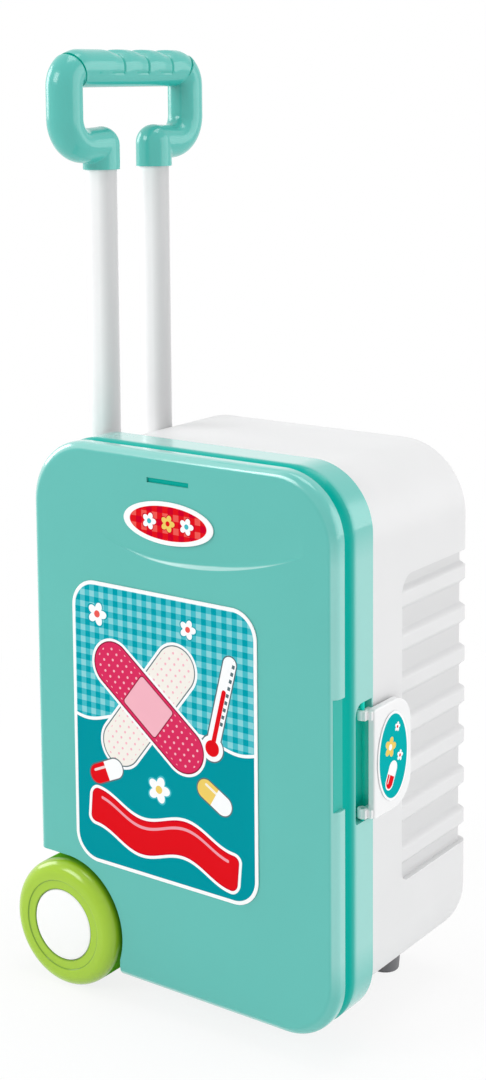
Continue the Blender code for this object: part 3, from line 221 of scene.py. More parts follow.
def softBox(name, low, high, edge):
    obj = box(name, low, high)
    editChosen(obj, "EDGE", lambda data: data.edges)
    roundOff(edge, 3, "EDGES")
    return obj


def inCase(vertex):
    return (vertex.co - caseCorner) / mm


def quarter(steps):
    # the turns of a quarter circle
    return [math.pi / 2 * i / steps for i in range(steps + 1)]


def finishPiece(obj, body, material, nodes, angle=32):
    # merged, shaded smooth up to an angle with flat faces kept flat, painted and hung on its body
    editAll(obj, "VERT")
    bpy.ops.mesh.remove_doubles(threshold=0.000004)
    bpy.ops.mesh.select_all(action="DESELECT")
    bpy.ops.object.mode_set(mode="OBJECT")
    bpy.ops.object.shade_smooth_by_angle(angle=math.radians(angle))
    applyStep(obj, "evenNormals", "WEIGHTED_NORMAL", keep_sharp=True)
    obj.data.materials.clear()
    obj.data.materials.append(material)
    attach(obj, body)
    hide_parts(*nodes)


# Material tools. A wire is one output of a node, and sums of wires make the patterns.
def mathNode(kind):
    return lambda wire, *others: wire.graph.add("Math", "Value", enumerate((wire, *others)), operation=kind)


class Wire:
    __add__, __sub__ = mathNode("ADD"), mathNode("SUBTRACT")
    __mul__, __truediv__ = mathNode("MULTIPLY"), mathNode("DIVIDE")
    __mod__, __pow__ = mathNode("FLOORED_MODULO"), mathNode("POWER")
    __abs__, root = mathNode("ABSOLUTE"), mathNode("SQRT")
    larger, smaller = mathNode("MAXIMUM"), mathNode("MINIMUM")
    sine, cosine, turn = mathNode("SINE"), mathNode("COSINE"), mathNode("ARCTAN2")

    def __init__(self, graph, socket):
        self.graph = graph
        self.socket = socket

    def beside(self, name):
        # another output of the same node
        return Wire(self.graph, self.socket.node.outputs[name])

    def ramp(self, low, high, first=0.0, last=1.0, kind="LINEAR"):
        inputs = {"Value": self, "From Min": low, "From Max": high, "To Min": first, "To Max": last}
        return self.graph.add("MapRange", "Result", inputs, interpolation_type=kind)

    def fall(self, low, high, kind="LINEAR"):
        return self.ramp(low, high, 1, 0, kind)

    def within(self, low, high, soft=0.15):
        return self.ramp(low - soft, low + soft) * self.fall(high - soft, high + soft)

    def blend(self, first, second):
        # from one colour to another as this wire goes from 0 to 1
        return self.graph.add("Mix", "Result", {"Factor": self, "A": first, "B": second}, data_type="RGBA")


class Graph:
    # a maker of nodes in one tree
    def __init__(self, tree):
        self.tree = tree

    def link(self, value, socket):
        if isinstance(value, Wire):
            self.tree.links.new(value.socket, socket)
        else:
            socket.default_value = (*value, 1) if isinstance(value, tuple) else value

    def add(self, kind, output, inputs=(), **settings):
        node = self.tree.nodes.new("ShaderNode" + kind)
        for key, value in settings.items():
            setattr(node, key, value)
        for key, value in dict(inputs).items():
            self.link(value, node.inputs[key])
        return Wire(self, node.outputs[output])


class Paint(Graph):
    # the nodes of one material, whose places are case millimetres
    def __init__(self, name):
        self.mat = bpy.data.materials.new(name)
        self.mat.use_nodes = True
        super().__init__(self.mat.node_tree)
        self.shader = self.tree.nodes["Principled BSDF"]
        self.object = self.add("TexCoord", "Object")

    def places(self, middle=(0, 0, 0)):
        # case millimetres from a point, as three wires
        inputs = {"Vector": self.object, "Location": [-c / mm for c in at(*middle)], "Scale": [1 / mm] * 3}
        x = self.add("SeparateXYZ", "X", {"Vector": self.add("Mapping", "Vector", inputs)})
        return x, x.beside("Y"), x.beside("Z")

    def noise(self, scale, detail):
        return self.add("TexNoise", "Fac", {"Vector": self.object, "Scale": scale, "Detail": detail})

    def clouded(self, ink, share=0.03):
        # slow flow marks in a moulding
        dark = tuple(c * (1 - share) for c in colours[ink])
        light = tuple(min(c * (1 + share), 1) for c in colours[ink])
        return self.noise(14, 3.0).blend(dark, light)

    def finish(self, colour, roughness, coat=0.0, gloss=0.5, metallic=0.0, spread=0.05, strength=0.05,
               depth=0.00006, scale=900, **more):
        # sets the shader, with the fine texture of a moulded or printed surface
        fine = self.noise(scale, 4.0)
        bump = self.add("Bump", "Normal", {"Strength": strength, "Distance": depth, "Height": fine})
        rough = fine.ramp(0, 1, roughness - spread, roughness + spread)
        inputs = {"Base Color": colour, "Specular IOR Level": gloss, "Coat Weight": coat,
                  "Coat Roughness": 0.1, "Metallic": metallic, "Roughness": rough, "Normal": bump, **more}
        for key, value in inputs.items():
            self.link(value, self.shader.inputs[key])
        return self.mat


def plain(name, ink, roughness, coat=0.0, **finish):
    paint = Paint(name)
    return paint.finish(paint.clouded(ink), roughness, coat, **finish)


# Colours as linear red, green and blue; the shade, sheen and highlight colours among them are painted light
colours = {
    "turquoise": (0.096, 0.500, 0.446), "grooveShadeTurquoise": (0.0, 0.430, 0.360),
    "shadedTurquoise": (0.0, 0.740, 0.600), "sheenTurquoise": (0.215, 0.615, 0.560),
    "crescentHighlightTurquoise": (0.460, 0.780, 0.740), "gripShadeTurquoise": (0.0, 0.420, 0.335),
    "underShadeTurquoise": (0.0, 0.440, 0.385), "gripTurquoise": (0.085, 0.490, 0.435),
    "white": (0.78, 0.78, 0.785), "panelShadeWhite": (0.68, 0.68, 0.685),
    "tubeWhite": (0.94, 0.94, 0.943), "tubeShadeGrey": (0.57, 0.57, 0.575),
    "tyreGreen": (0.370, 0.600, 0.012), "treadShadeGreen": (0.120, 0.430, 0.020), "lineShadeGreen": (0.100, 0.260, 0.0),
    "hubWhite": (0.99, 0.99, 0.99), "latchWhite": (0.885, 0.885, 0.89),
    "grey": (0.20, 0.20, 0.21), "hiddenGrey": (0.24, 0.24, 0.25), "steel": (0.62, 0.62, 0.63),
}


def edge(distance, grow=0.0, soft=0.08):
    # 1 inside an outline, 0 outside
    return distance.fall(grow - soft, grow + soft)


def moved(u, v, centre, degrees=0.0):
    a, b = u - centre[0], v - centre[1]
    c, s = math.cos(math.radians(degrees)), math.sin(math.radians(degrees))
    return a * c + b * s, b * c - a * s


def length(a, b):
    return (a * a + b * b).root()


def slab(place, longHalf, wideHalf, radius):
    # distance from a rectangle with round corners
    a, b = (abs(p) - (half - radius) for p, half in zip(place, (longHalf, wideHalf)))
    return length(a.larger(0.0), b.larger(0.0)) + a.larger(b).smaller(0.0) - radius


def ellipse(place, wide, high):
    return length(place[0] / wide, place[1] / high) - 1.0


def crescentHighlightMask(x, y, z):
    # a painted highlight along the lower edge of the crescent dish
    s = swoosh
    across = x - s["lowX"]
    share = (across / (s["rightEnd"] - s["lowX"])).larger(across / (s["leftEnd"] - s["lowX"]))
    above = z - (share * share * across.ramp(-0.01, 0.01, s["leftRise"], s["rise"]) + s["low"])
    swell = x.ramp(78, 135, 0, 1, "SMOOTHSTEP") * x.fall(150, 214)
    light = above.ramp(-0.25, 0.15) * (above - swell * 2.6).fall(-0.5, 0.3)
    return light * (swell.ramp(0, 0.35) * 0.75) * y.fall(1.9, 2.1)


def lidPaint():
    # turquoise, with painted shade in the groove, the slot and the hollows round the latch, and a painted
    # sheen on the sides
    paint = Paint("turquoiseMoulding")
    x, y, z = paint.places()
    # painted shade: darker teal in the groove, the finger recess and the slot, with less gloss there
    groove = y.ramp(10.6, 11.2) * y.fall(17.0, 25.0, "SMOOTHSTEP")
    recess = x.within(239.2, 241.0) * z.within(152.5, 223.2) * y.within(1.0, 11) * 0.8
    slot = x.within(98.8, 132.2) * z.within(340.4, 343.6) * y.within(0.4, 3)
    deep = groove.larger(recess.larger(slot))
    # the sides have a glossier coat, and a painted sheen makes them paler than the face, less so at the right
    # corners
    middle = (lid["width"] / 2, lid["height"] / 2)
    sides = slab(moved(x, z, middle), *middle, 45).ramp(-6.2, -5.0) * y.ramp(0.2, 0.6)
    sides = sides * deep.fall(0, 1)
    right = x.ramp(196, 212)
    corners = (right * z.ramp(304, 326)).larger(right * z.fall(34, 56))
    sides = sides * corners.ramp(0, 1, 1, 0.2)
    colour = sides.blend(paint.clouded("turquoise"), paint.clouded("sheenTurquoise"))
    # a painted highlight on the crescent's lower edge
    colour = crescentHighlightMask(x, y, z).blend(colour, colours["crescentHighlightTurquoise"])
    colour = deep.blend(colour, colours["grooveShadeTurquoise"])
    # painted shade in the pocket behind the latch
    pocket = x.fall(236.5, 241.6) * z.within(137.7, 214.5, 0.4) * x.ramp(231, 232) * y.within(22, 42.6)
    colour = pocket.blend(colour, colours["shadedTurquoise"])
    coat = sides.ramp(0, 1, 0.4, 1.0) * deep.ramp(0, 1, 1, 0.05)
    polish = {"Coat IOR": sides.ramp(0, 1, 1.5, 1.8)}
    return paint.finish(colour, 0.2, coat, deep.ramp(0, 1, 0.4, 0.05), **polish)


def tubePaint():
    # white lacquer, with painted shade: greyer on the side away from the face
    paint = Paint("tubeWhite")
    x = paint.places()[0]
    colour = x.ramp(22.5, 28.5).blend(paint.clouded("tubeWhite"), colours["tubeShadeGrey"])
    return paint.finish(colour, 0.25, 0.1, 0.3)


def shellPaint():
    # white, with painted shade: a little greyer in the sunken ribbed panel
    paint = Paint("whiteMoulding")
    x, y, z = paint.places()
    side = x.fall(237.8, 241.1) * y.ramp(78.9, 79.1)
    back = x.ramp(236.5, 237.5).larger(y.ramp(162.0, 162.6))
    sunk = side * back * y.fall(caseDepth - 3.6, caseDepth - 0.2) * x.ramp(190, 192)
    sunk = sunk * z.ramp(79.5, 80.5) * z.fall(282, 283)
    return paint.finish(sunk.blend(paint.clouded("white"), colours["panelShadeWhite"]), 0.42, 0.05, 0.3)


def tyrePaint():
    # fresh green on the wheel's face, with painted shade: deeper green on its tread and dark lines round the
    # ring and the hub
    paint = Paint("tyreGreen")
    x, y, z = paint.places()
    tread = y.ramp(-2.5, 5, 0, 1, "SMOOTHSTEP") * y.fall(caseDepth - 5, caseDepth + 2.5, "SMOOTHSTEP")
    radius = length(x - wheel["x"], z - wheel["z"])
    ring, hub = (abs(radius - r).fall(half * 0.4, half) for r, half in
                 ((tyre["ring"] - 0.1, 0.55), (tyre["hub"] + 0.1, 0.8)))
    colour = tread.blend(paint.clouded("tyreGreen"), colours["treadShadeGreen"])
    # painted shade lines round the ring step and the hub
    colour = (ring.larger(hub) * 0.6).blend(colour, colours["lineShadeGreen"])
    return paint.finish(colour, 0.22, tread.ramp(0, 0.8, 0.5, 0.0), tread.ramp(0, 0.8, 0.4, 0.0))


caseDepth = 166.5
caseWhite = shellPaint()
tubeWhite = tubePaint()
# the latch pins take the pocket's painted shade colour
pinShadeTurquoise = plain("pinShadeTurquoise", "shadedTurquoise", 0.4, gloss=0.2)
hubWhite = plain("hubWhite", "hubWhite", 0.3, 0.25)
latchWhite = plain("latchWhite", "latchWhite", 0.25, 0.4)
footGrey = plain("footGrey", "grey", 0.6, strength=0.3, depth=0.0001)
pinSteel = plain("pinSteel", "steel", 0.28, metallic=1.0, scale=1500)
print("materials made")


# Front lid
lid = {
    "width": 242, "height": 360, "depth": 43, "topRadius": 47, "lowRadius": 43,
    "faceRound": 6, "bandBack": 10.8, "bandEdge": 0.7, "grooveDeep": 3.2, "grooveBack": 20.6, "wall": 2.2,
    "faceWall": 2.4, "slotX": 115.5, "slotZ": 342, "slotLong": 33.5, "slotHigh": 3.2, "slotDeep": 1.4,
}
swoosh = {"left": 52, "right": 219.5, "lowX": 122, "low": 288.5, "rise": 19.8, "leftRise": 12.0,
          "leftEnd": 60, "rightEnd": 219, "band": 5.8, "deep": 1.6, "fade": 24, "field": (48, 222, 284, 334)}
turquoise = lidPaint()
wheel = {"x": 25.0, "z": 26.2, "radius": 43.5, "width": 35.5, "proud": 6.8, "well": 46.8, "tuck": 18,
         "wallFront": 55.8, "wallBack": 60.5, "backWell": 48.8, "far": 90}
hinge = {"x": -4.5, "y": 43.15}
latch = {
    "z": 174, "high": 70.5, "front": 34.5, "back": 79, "thick": 4.8, "standoff": 1.4, "round": 19,
    "pinY": 33, "pinX": 240.2, "pinRadius": 1.4, "lug": 7.5, "lugRadius": 3.4, "edge": 1.2,
    "pocketFront": 22, "pocketBack": 41, "pocketDeep": 7, "ramp": 7.8, "topRoom": 5, "lowRoom": 1,
    "recess": 2.4, "recessLow": 152.5, "recessHigh": 223.2, "seat": 6,
}


def caseRadii(inset):
    return [lid[k] - inset for k in ("lowRadius", "lowRadius", "topRadius", "topRadius")]


def faceNotch():
    # the notch through the lid's face, which follows the wheel and curves back in below the axle
    x, z, radius, far = (wheel[k] for k in ("x", "z", "well", "far"))
    tuck, end = math.radians(wheel["tuck"]), lid["faceWall"] + 0.3
    notch = rod("faceNotch", "Y", (x, z), radius, -4, end, 128)
    right, high = x + radius * math.cos(tuck), z - radius * math.sin(tuck)
    weld(notch, box("faceNotchLow", (x - far, -4, z - far), (right, end, high)),
         box("faceNotchLeft", (x - far, -4, z - far), (x, end, z + radius)))
    sweep = math.hypot(radius + x - hinge["x"], hinge["y"])
    widen = math.sqrt(sweep ** 2 - (hinge["y"] - lid["faceWall"]) ** 2) - (x - hinge["x"]) - radius
    for v in notch.data.vertices:
        p = inCase(v)
        if p.y > 0:  # the notch is a little wider at the back of the face
            v.co += Vector((p.x - x, 0, p.z - z)).normalized() * widen * mm
    return notch


def notchWall(name, start, grow):
    # the wheel's room behind the face, a cone that widens to the lid's rear edge
    x, z, far = (wheel[k] for k in ("x", "z", "far"))
    slope = (wheel["wallBack"] - wheel["wallFront"]) / (lid["depth"] - lid["faceWall"])
    end = lid["depth"] + 4
    first, last = (wheel["wallFront"] + slope * (y - lid["faceWall"]) + grow for y in (start, end))
    cone = turned(name, "Y", (x, z), [(first, start), (last, end)], 128)
    for low, left in ((1, 0), (0, 1)):  # the straight parts below the cone and to its left
        wedge = plate(name + "Side", "Y", start, x - far, x + first * low, z - far, z + first * left)
        editAll(wedge)
        push("Y", end - start)
        wide, high = ((far + last * side) / (far + first * side) for side in (low, left))
        stretch((wide, 1, high), (x - far, start, z - far))
        weld(cone, faceOut(wedge))
    return cone


def lidProfile():
    # (depth, inset) steps of the lid's side: front edge, front band, groove and rear band
    r, e, back, deep = (lid[k] for k in ("faceRound", "bandEdge", "bandBack", "grooveDeep"))
    rows = [(r * (1 - math.cos(t)), r * (1 - math.sin(t))) for t in quarter(9)]
    rows += [(back - e + e * math.sin(t), e - e * math.cos(t)) for t in (0, 0.5, 1.0, 1.4)]
    rows += [(back + 0.25, deep - 0.5), (back + 0.45, deep - 0.12), (back + 0.8, deep)]
    start, end = back + 1.6, lid["grooveBack"]
    for i in range(13):  # concave rise from the groove out to the rear band
        rows.append((start + (end - start) * i / 12, deep * (1 - (i / 12) ** 1.35)))
    return rows + [(end + 1.2, 0), (lid["depth"] - 0.4, 0), (lid["depth"], 0.35)]


def swooshLine(x):
    rise, end = ("rise", "rightEnd") if x > swoosh["lowX"] else ("leftRise", "leftEnd")
    return swoosh["low"] + swoosh[rise] * ((x - swoosh["lowX"]) / (swoosh[end] - swoosh["lowX"])) ** 2


def swooshDepth(x, z):
    share = min(max((x - swoosh["left"]) / (swoosh["right"] - swoosh["left"]), 0), 1)
    swell = math.sin(math.pi * share ** 1.5) ** 0.8
    above = z - swooshLine(x)
    if above <= 0 or swell <= 0:
        return 0
    band = swoosh["band"] * swell
    if above < band:
        return swoosh["deep"] * swell * math.sin(math.pi / 2 * above / band)
    fade = min((above - band) / swoosh["fade"], 1)
    return swoosh["deep"] * swell * (1 - fade * fade * (3 - 2 * fade))


def swooshBody():
    # a fine grid over the face, pushed in where the crescent dips, then closed towards the front
    clearPick()
    left, right, low, high = swoosh["field"]
    middle = at((left + right) / 2, 0, (low + high) / 2)
    bpy.ops.mesh.primitive_grid_add(x_subdivisions=right - left, y_subdivisions=2 * (high - low), size=1,
                                    location=middle, rotation=facingTurn["Y"])
    bpy.context.object.scale = ((right - left) * mm, (high - low) * mm, 1)
    obj = settle("swooshBody")
    for v in obj.data.vertices:
        p = inCase(v)
        line = swooshLine(p.x)
        z = line if abs(p.z - line) < 0.3 else p.z  # the row next to the crease lies on it
        v.co = at(p.x, swooshDepth(p.x, z) - 0.02, z)
    editAll(obj)
    push("Y", -3)
    return faceOut(obj)


def pocketSpan():
    middle, half = latch["z"], latch["high"] / 2
    return middle - half - latch["lowRoom"], middle + half + latch["topRoom"]


def pocketBody():
    # the hollow behind the latch: a sloped front, and an arch at its upper front corner
    front, back, start = latch["pocketFront"], latch["pocketBack"], lid["width"] + 4
    obj = plate("latchPocket", "X", start, front - 4, back, *pocketSpan(), (3, 0, 0, 9), 12)
    editAll(obj)
    push("X", -latch["pocketDeep"] - 4)
    stretch((1, (back - front - latch["ramp"]) / (back - front + 4), 1), (0, back, 0))
    return faceOut(obj)


def buildLid():
    w, h, inner = lid["width"], lid["height"], lid["grooveDeep"] + lid["wall"]
    shell = drawn("lidShell", "Y", (0, w, 0, h), caseRadii(lid["faceRound"]), lidProfile(), 28)
    rows = [(lid["faceWall"], inner), (lid["grooveBack"], inner), (lid["grooveBack"] + 3.2, lid["wall"]),
            (lid["depth"] + 4, lid["wall"])]
    hollow = drawn("lidHollow", "Y", (0, w, 0, h), caseRadii(inner), rows, 16)
    low, high = pocketSpan()
    seat = box("latchSeat", (w - latch["pocketDeep"] - 2, latch["pocketFront"] - 2, low - latch["seat"]),
               (w, lid["depth"] - 0.3, high + latch["seat"]))
    carve(hollow, notchWall("notchRoom", 0, 2.0), seat)
    carve(shell, hollow, faceNotch(), notchWall("notchCut", lid["faceWall"], 0))
    recess = block("fingerRecess", "X", (-4, lid["bandBack"] + 4, latch["recessLow"], latch["recessHigh"]),
                   w + 4, w - latch["recess"])
    halfLong, halfHigh = lid["slotLong"] / 2, lid["slotHigh"] / 2
    slot = box("slotCut", (lid["slotX"] - halfLong, -4, lid["slotZ"] - halfHigh),
               (lid["slotX"] + halfLong, lid["slotDeep"], lid["slotZ"] + halfHigh))
    hole = rod("pinHole", "Z", (latch["pinX"], latch["pinY"]), latch["pinRadius"] + 0.3,
               low - latch["seat"] / 2, high + latch["seat"] / 2, 32)
    carve(shell, pocketBody(), recess, slot, hole, swooshBody())
    addKnuckles(shell, (0,), 1.1, lid["depth"] - 4, lid["depth"] - 0.3)
    finishPiece(shell, "lid", turquoise, ["front_lid"])


knuckles = {"radius": 3.8, "long": 12, "low": 115, "high": 270, "bore": 1.8, "gap": 0.6}


def addKnuckles(shell, places, webEnd, webFront, webBack):
    # barrels round the hinge pins, each with a web to the wall
    k, centre = knuckles, (hinge["x"], hinge["y"])
    for middle in (k["low"], k["high"]):
        for place in places:
            low, high = (middle + place * (k["long"] + k["gap"]) + side * k["long"] / 2 for side in (-1, 1))
            barrel = softRod("barrel", "Z", centre, k["radius"], low, high, 0.5, 40)
            weld(barrel, box("web", (hinge["x"], webFront, low), (webEnd, webBack, high)))
            weld(shell, carve(barrel, rod("bore", "Z", centre, k["bore"], low - 4, high + 4, 32)))


buildLid()
print("front lid made")


# Rear shell
shellSize = {"left": 0.8, "right": 241.2, "low": 7.5, "high": 354.2, "front": 43.3, "edge": 8, "wall": 2.5}
panel = {"top": 282.7, "low": 80, "front": 79, "backLong": 40, "radius": 12, "deep": 3.8, "ribs": 7,
         "pitch": 28.3, "ribWide": 16.5, "first": 97.3, "slope": 4.8, "sink": 0.5, "inside": (100, 60)}
shellInside = {"boss": 15, "bossRadius": 5.5, "footX": 190, "footY": (70, 142), "tubeX": 18,
               "tubeY": (56.6, 113.6), "tubeHole": 11.1, "hookEnd": 68.5, "keeper": 3, "keeperProud": 1.1,
               "keeperHigh": 26, "postRadius": 3.4, "screwRadius": 1.6, "postY": 85.1, "postZ": (81.2, 283.7),
               "channelRight": 32.0}


def shellBody(name, inset, front, end, edge, segments):
    s = shellSize
    edges = (s["left"] + inset, s["right"] - inset, s["low"] + inset, s["high"] - inset)
    rows = [(front, 0)] + [(end - edge + edge * math.sin(t), edge - edge * math.cos(t)) for t in quarter(10)]
    return drawn(name, "Y", edges, caseRadii(inset), rows, segments)


def ribbedCore():
    # the wall left standing in the panel, swelling out at each rib
    right, back, inside = shellSize["right"] - panel["deep"], caseDepth - panel["deep"], panel["inside"]
    z, out, corner = panel["low"] - 4, 0, shellSize["edge"] - panel["deep"]
    obj = plate("ribbedCore", "Z", z, inside[0], right, inside[1], back, (0, 0, corner), 16)
    rise = panel["deep"] - panel["sink"]
    shares = (0, 0.12, 0.3, 0.5, 0.7, 0.88, 1)
    rows = []
    for i in range(panel["ribs"]):
        middle, half = panel["first"] + i * panel["pitch"], panel["ribWide"] / 2
        for side, order in ((-1, shares), (1, shares[::-1])):
            rows += [(middle + side * (half - panel["slope"] * s), rise * s * s * (3 - 2 * s)) for s in order]
    editAll(obj)
    for nextZ, nextOut in rows + [(panel["top"] + 4, 0)]:
        push("Z", nextZ - z)
        a, b = ((size + nextOut) / (size + out) for size in (right - inside[0], back - inside[1]))
        stretch((a, b, 1), (*inside, 0))
        z, out = nextZ, nextOut
    return faceOut(obj)


def panelBody():
    right, low, top, r = shellSize["right"], panel["low"], panel["top"], panel["radius"]
    deep, left = panel["deep"] + shellSize["edge"], right - shellSize["edge"] - panel["backLong"]
    side = block("panelSide", "X", (panel["front"], caseDepth + 16, low, top), right - deep, right + 4,
                 (r * 0.6, r, r, r), 12)
    back = block("panelBack", "Y", (left, right + 16, low, top), caseDepth - deep, caseDepth + 4, [r] * 4, 12)
    return carve(weld(side, back), ribbedCore())


def cornerBlock(name, radius, start, end):
    # the lower left corner of the case out to a radius round the wheel
    x, z, reach = wheel["x"], wheel["z"], 85
    return block(name, "Y", (x - reach, x + radius, z - reach, z + radius), start, end, (0, 0, radius), 40)


def buildShell():
    s, m, axis, wall = shellSize, shellInside, (wheel["x"], wheel["z"]), shellSize["wall"]
    shell = shellBody("rearShell", 0, s["front"], caseDepth, s["edge"], 28)
    hollow = shellBody("shellHollow", wall, s["front"] - 4, caseDepth - wall, s["edge"] - wall, 16)
    thick = panel["deep"] + wall
    backLeft = s["right"] - s["edge"] - panel["backLong"] - wall
    wellFront = caseDepth + wheel["proud"] - wheel["width"] - 0.8
    low, high, right = panel["low"] - wall, panel["top"] + wall, s["right"] + 4
    carve(hollow,
          box("panelWall", (s["right"] - thick, panel["front"] - wall, low), (right, caseDepth, high)),
          box("backWall", (backLeft, caseDepth - thick, low), (right, caseDepth + 4, high)),
          cornerBlock("wellWall", wheel["backWell"] + 2, wellFront - 2, caseDepth + 4),
          cornerBlock("bulkhead", wheel["wallBack"] + 2.3, s["front"] - 8, s["front"] + 2.5),
          rod("axleHousing", "Y", axis, 7.5, s["front"] - 4, caseDepth, 48))
    carve(shell, hollow, panelBody(), cornerBlock("wellCut", wheel["backWell"], wellFront, caseDepth + 4),
          rod("axleBore", "Y", axis, 3.3, -10, caseDepth + 10, 32))
    for y in m["tubeY"]:
        carve(shell, rod("tubeBore", "Z", (m["tubeX"], y), m["tubeHole"], 307, 359, 64))
    for y in m["footY"]:
        foot, top = (m["footX"], y), s["low"] + m["boss"]
        weld(shell, rod("footBoss", "Z", foot, m["bossRadius"], s["low"] + 1.2, top, 48))
        carve(shell, rod("footBore", "Z", foot, m["screwRadius"], s["low"] - 4, top - 2.5, 32))
    for z in m["postZ"]:
        post, end = (m["postY"], z), m["channelRight"]
        weld(shell, rod("post", "X", post, m["postRadius"], s["left"] + 1.2, end, 48))
        carve(shell, rod("postBore", "X", post, m["screwRadius"], end - 11, end + 4, 32))
    addKnuckles(shell, (-1, 1), 2.0, 43.6, 47.3)
    half, end = m["keeperHigh"] / 2, m["hookEnd"]
    weld(shell, softBox("keeper", (s["right"] - 1.2, end - m["keeper"], latch["z"] - half),
                        (s["right"] + m["keeperProud"], end, latch["z"] + half), 0.3))
    finishPiece(shell, "case", caseWhite, ["rear_shell"])


buildShell()
print("rear shell made")


# Grip of the pull handle
grip = {
    "x": 18, "mid": 85.1, "tube": 28.5, "half": 76.6, "wide": 25.2, "section": 23.2, "top": 616.4,
    "bend": 25.5, "low": 540.2, "lowBend": 30, "collar": 12.6, "collarLow": 535.5, "barRadius": 12.1,
    "barZ": 603.7, "under": 1.1, "barBend": 31, "gap": 5.0, "neck": 11.5, "neckTurn": 12, "socket": 20,
    "screwUp": 1.3, "screwHole": 1.6, "screwHead": 3.3, "voxel": 0.65, "rings": 408,
}
creases = {"pitch": 26.2, "count": 3, "start": 10.5, "shift": 9.3, "over": (62, 100), "valley": 2.1,
           "wide": 11, "side": 0.3, "line": 0.9, "lineWide": 1.3, "low": -17, "curl": 17, "back": 135}
tube = {"radius": 10.5, "wall": 1.2, "low": 274.7, "y": (56.6, 113.6)}
screwZ = grip["collarLow"] + grip["socket"] / 2 + grip["screwUp"]


def spinFace(degrees, y, z, steps):
    bpy.ops.mesh.spin(steps=steps, angle=-math.radians(degrees), center=at(0, y, z), axis=(1, 0, 0))


def gripArm(side):
    # one end of the grip, swept from over the tube, round both bends and up to the bar
    g, half = grip, grip["section"] / 2
    middle, centre, start = g["mid"] + side * g["tube"], g["low"] + half, g["collar"] - 0.25
    arm = plate("gripArm", "Y", middle, g["x"] - start, g["x"] + start, centre - start, centre + start,
                [start - 0.3] * 4, 14)
    editAll(arm)
    turnY, turnZ = g["mid"] + side * (g["half"] - g["lowBend"]), g["top"] - g["bend"]
    push("Y", turnY - middle)
    stretch((g["wide"] / 2 / start, 1, half / start), (g["x"], turnY, centre))
    arc = g["lowBend"] - half
    spinFace(side * 90, turnY, centre + arc, 20)
    push("Z", turnZ - centre - arc)
    spinFace(side * (90 - g["barBend"]), g["mid"] + side * (g["half"] - g["bend"]), turnZ, 16)
    faceOut(arm)
    r = g["collar"]
    dome = [(r * math.cos(t), centre + r * math.sin(t)) for t in quarter(14)[:-1]]
    rows = [(r, g["collarLow"] - 4)] + dome + [(0.4, centre + r - 0.005)]
    return weld(arm, turned("gripCollar", "Z", (g["x"], middle), rows, 72))


def bendSide(obj, side):
    # spins the flat end of the bar on one side round to the arm
    g = grip
    editChosen(obj, "FACE", lambda data: [max(data.polygons, key=lambda f: side * f.center.y)])
    y, z = g["mid"] + side * (g["half"] - g["bend"]), g["top"] - g["bend"]
    spinFace(-side * (g["barBend"] - g["gap"]), y, z, 8)
    swing, reach, k = math.radians(g["barBend"] - g["gap"]), g["barZ"] - z, g["neck"] / g["barRadius"]
    push("Y", 0)
    stretch((k, k, k), (g["x"], y + side * reach * math.sin(swing), z + reach * math.cos(swing)))
    spinFace(-side * g["neckTurn"], y, z, 4)
    bpy.ops.object.mode_set(mode="OBJECT")


def clamp(value):
    return min(max(value, 0), 1)


def creaseDepth(y, angle):
    # how far the bar's surface lies in, at a place along it and an angle up from its right side
    c = creases
    if angle > c["back"] or angle < c["low"] - 6:
        return 0
    rise = clamp((angle - 15) / 60)
    valley = c["side"] + (c["valley"] - c["side"]) * rise * rise * (3 - 2 * rise)
    valley *= clamp((angle - c["low"]) / 12)
    first, last = c["over"]
    lean = c["start"] - c["shift"] * clamp((angle - first) / (last - first)) ** 1.5
    deep = 0
    for i in range(c["count"]):
        s = y - grip["mid"] - (i - (c["count"] - 1) / 2) * c["pitch"] - lean
        here = valley * (0.5 + 0.5 * math.cos(math.pi * s / c["wide"])) if abs(s) < c["wide"] else 0
        line = max(1 - abs(s) / c["lineWide"], 0) if angle > c["low"] else 0
        if -c["curl"] < s < 0:  # the curl at the lower end
            line = max(line, min((1 + s / c["curl"]) * 2, 1) * max(1 - abs(angle - c["low"]) / 6, 0))
        deep = max(deep, here + c["line"] * line)
    return deep * min((c["back"] - angle) / 30, 1)


def gripBar():
    g, straight, rings = grip, grip["half"] - grip["bend"], grip["rings"]
    rows = [(g["barRadius"], g["mid"] - straight + 2 * straight * i / rings) for i in range(rings + 1)]
    bar = turned("gripBar", "Y", (g["x"], g["barZ"]), rows, 120)
    for v in bar.data.vertices:
        p = inCase(v)
        across, up = p.x - g["x"], p.z - g["barZ"]
        k = 1 - creaseDepth(p.y, math.degrees(math.atan2(up, across))) / g["barRadius"]
        v.co = at(g["x"] + across * k, p.y, g["barZ"] + up * k * (g["under"] if up < 0 else 1))
    bendSide(bar, -1)
    bendSide(bar, 1)
    return faceOut(bar)


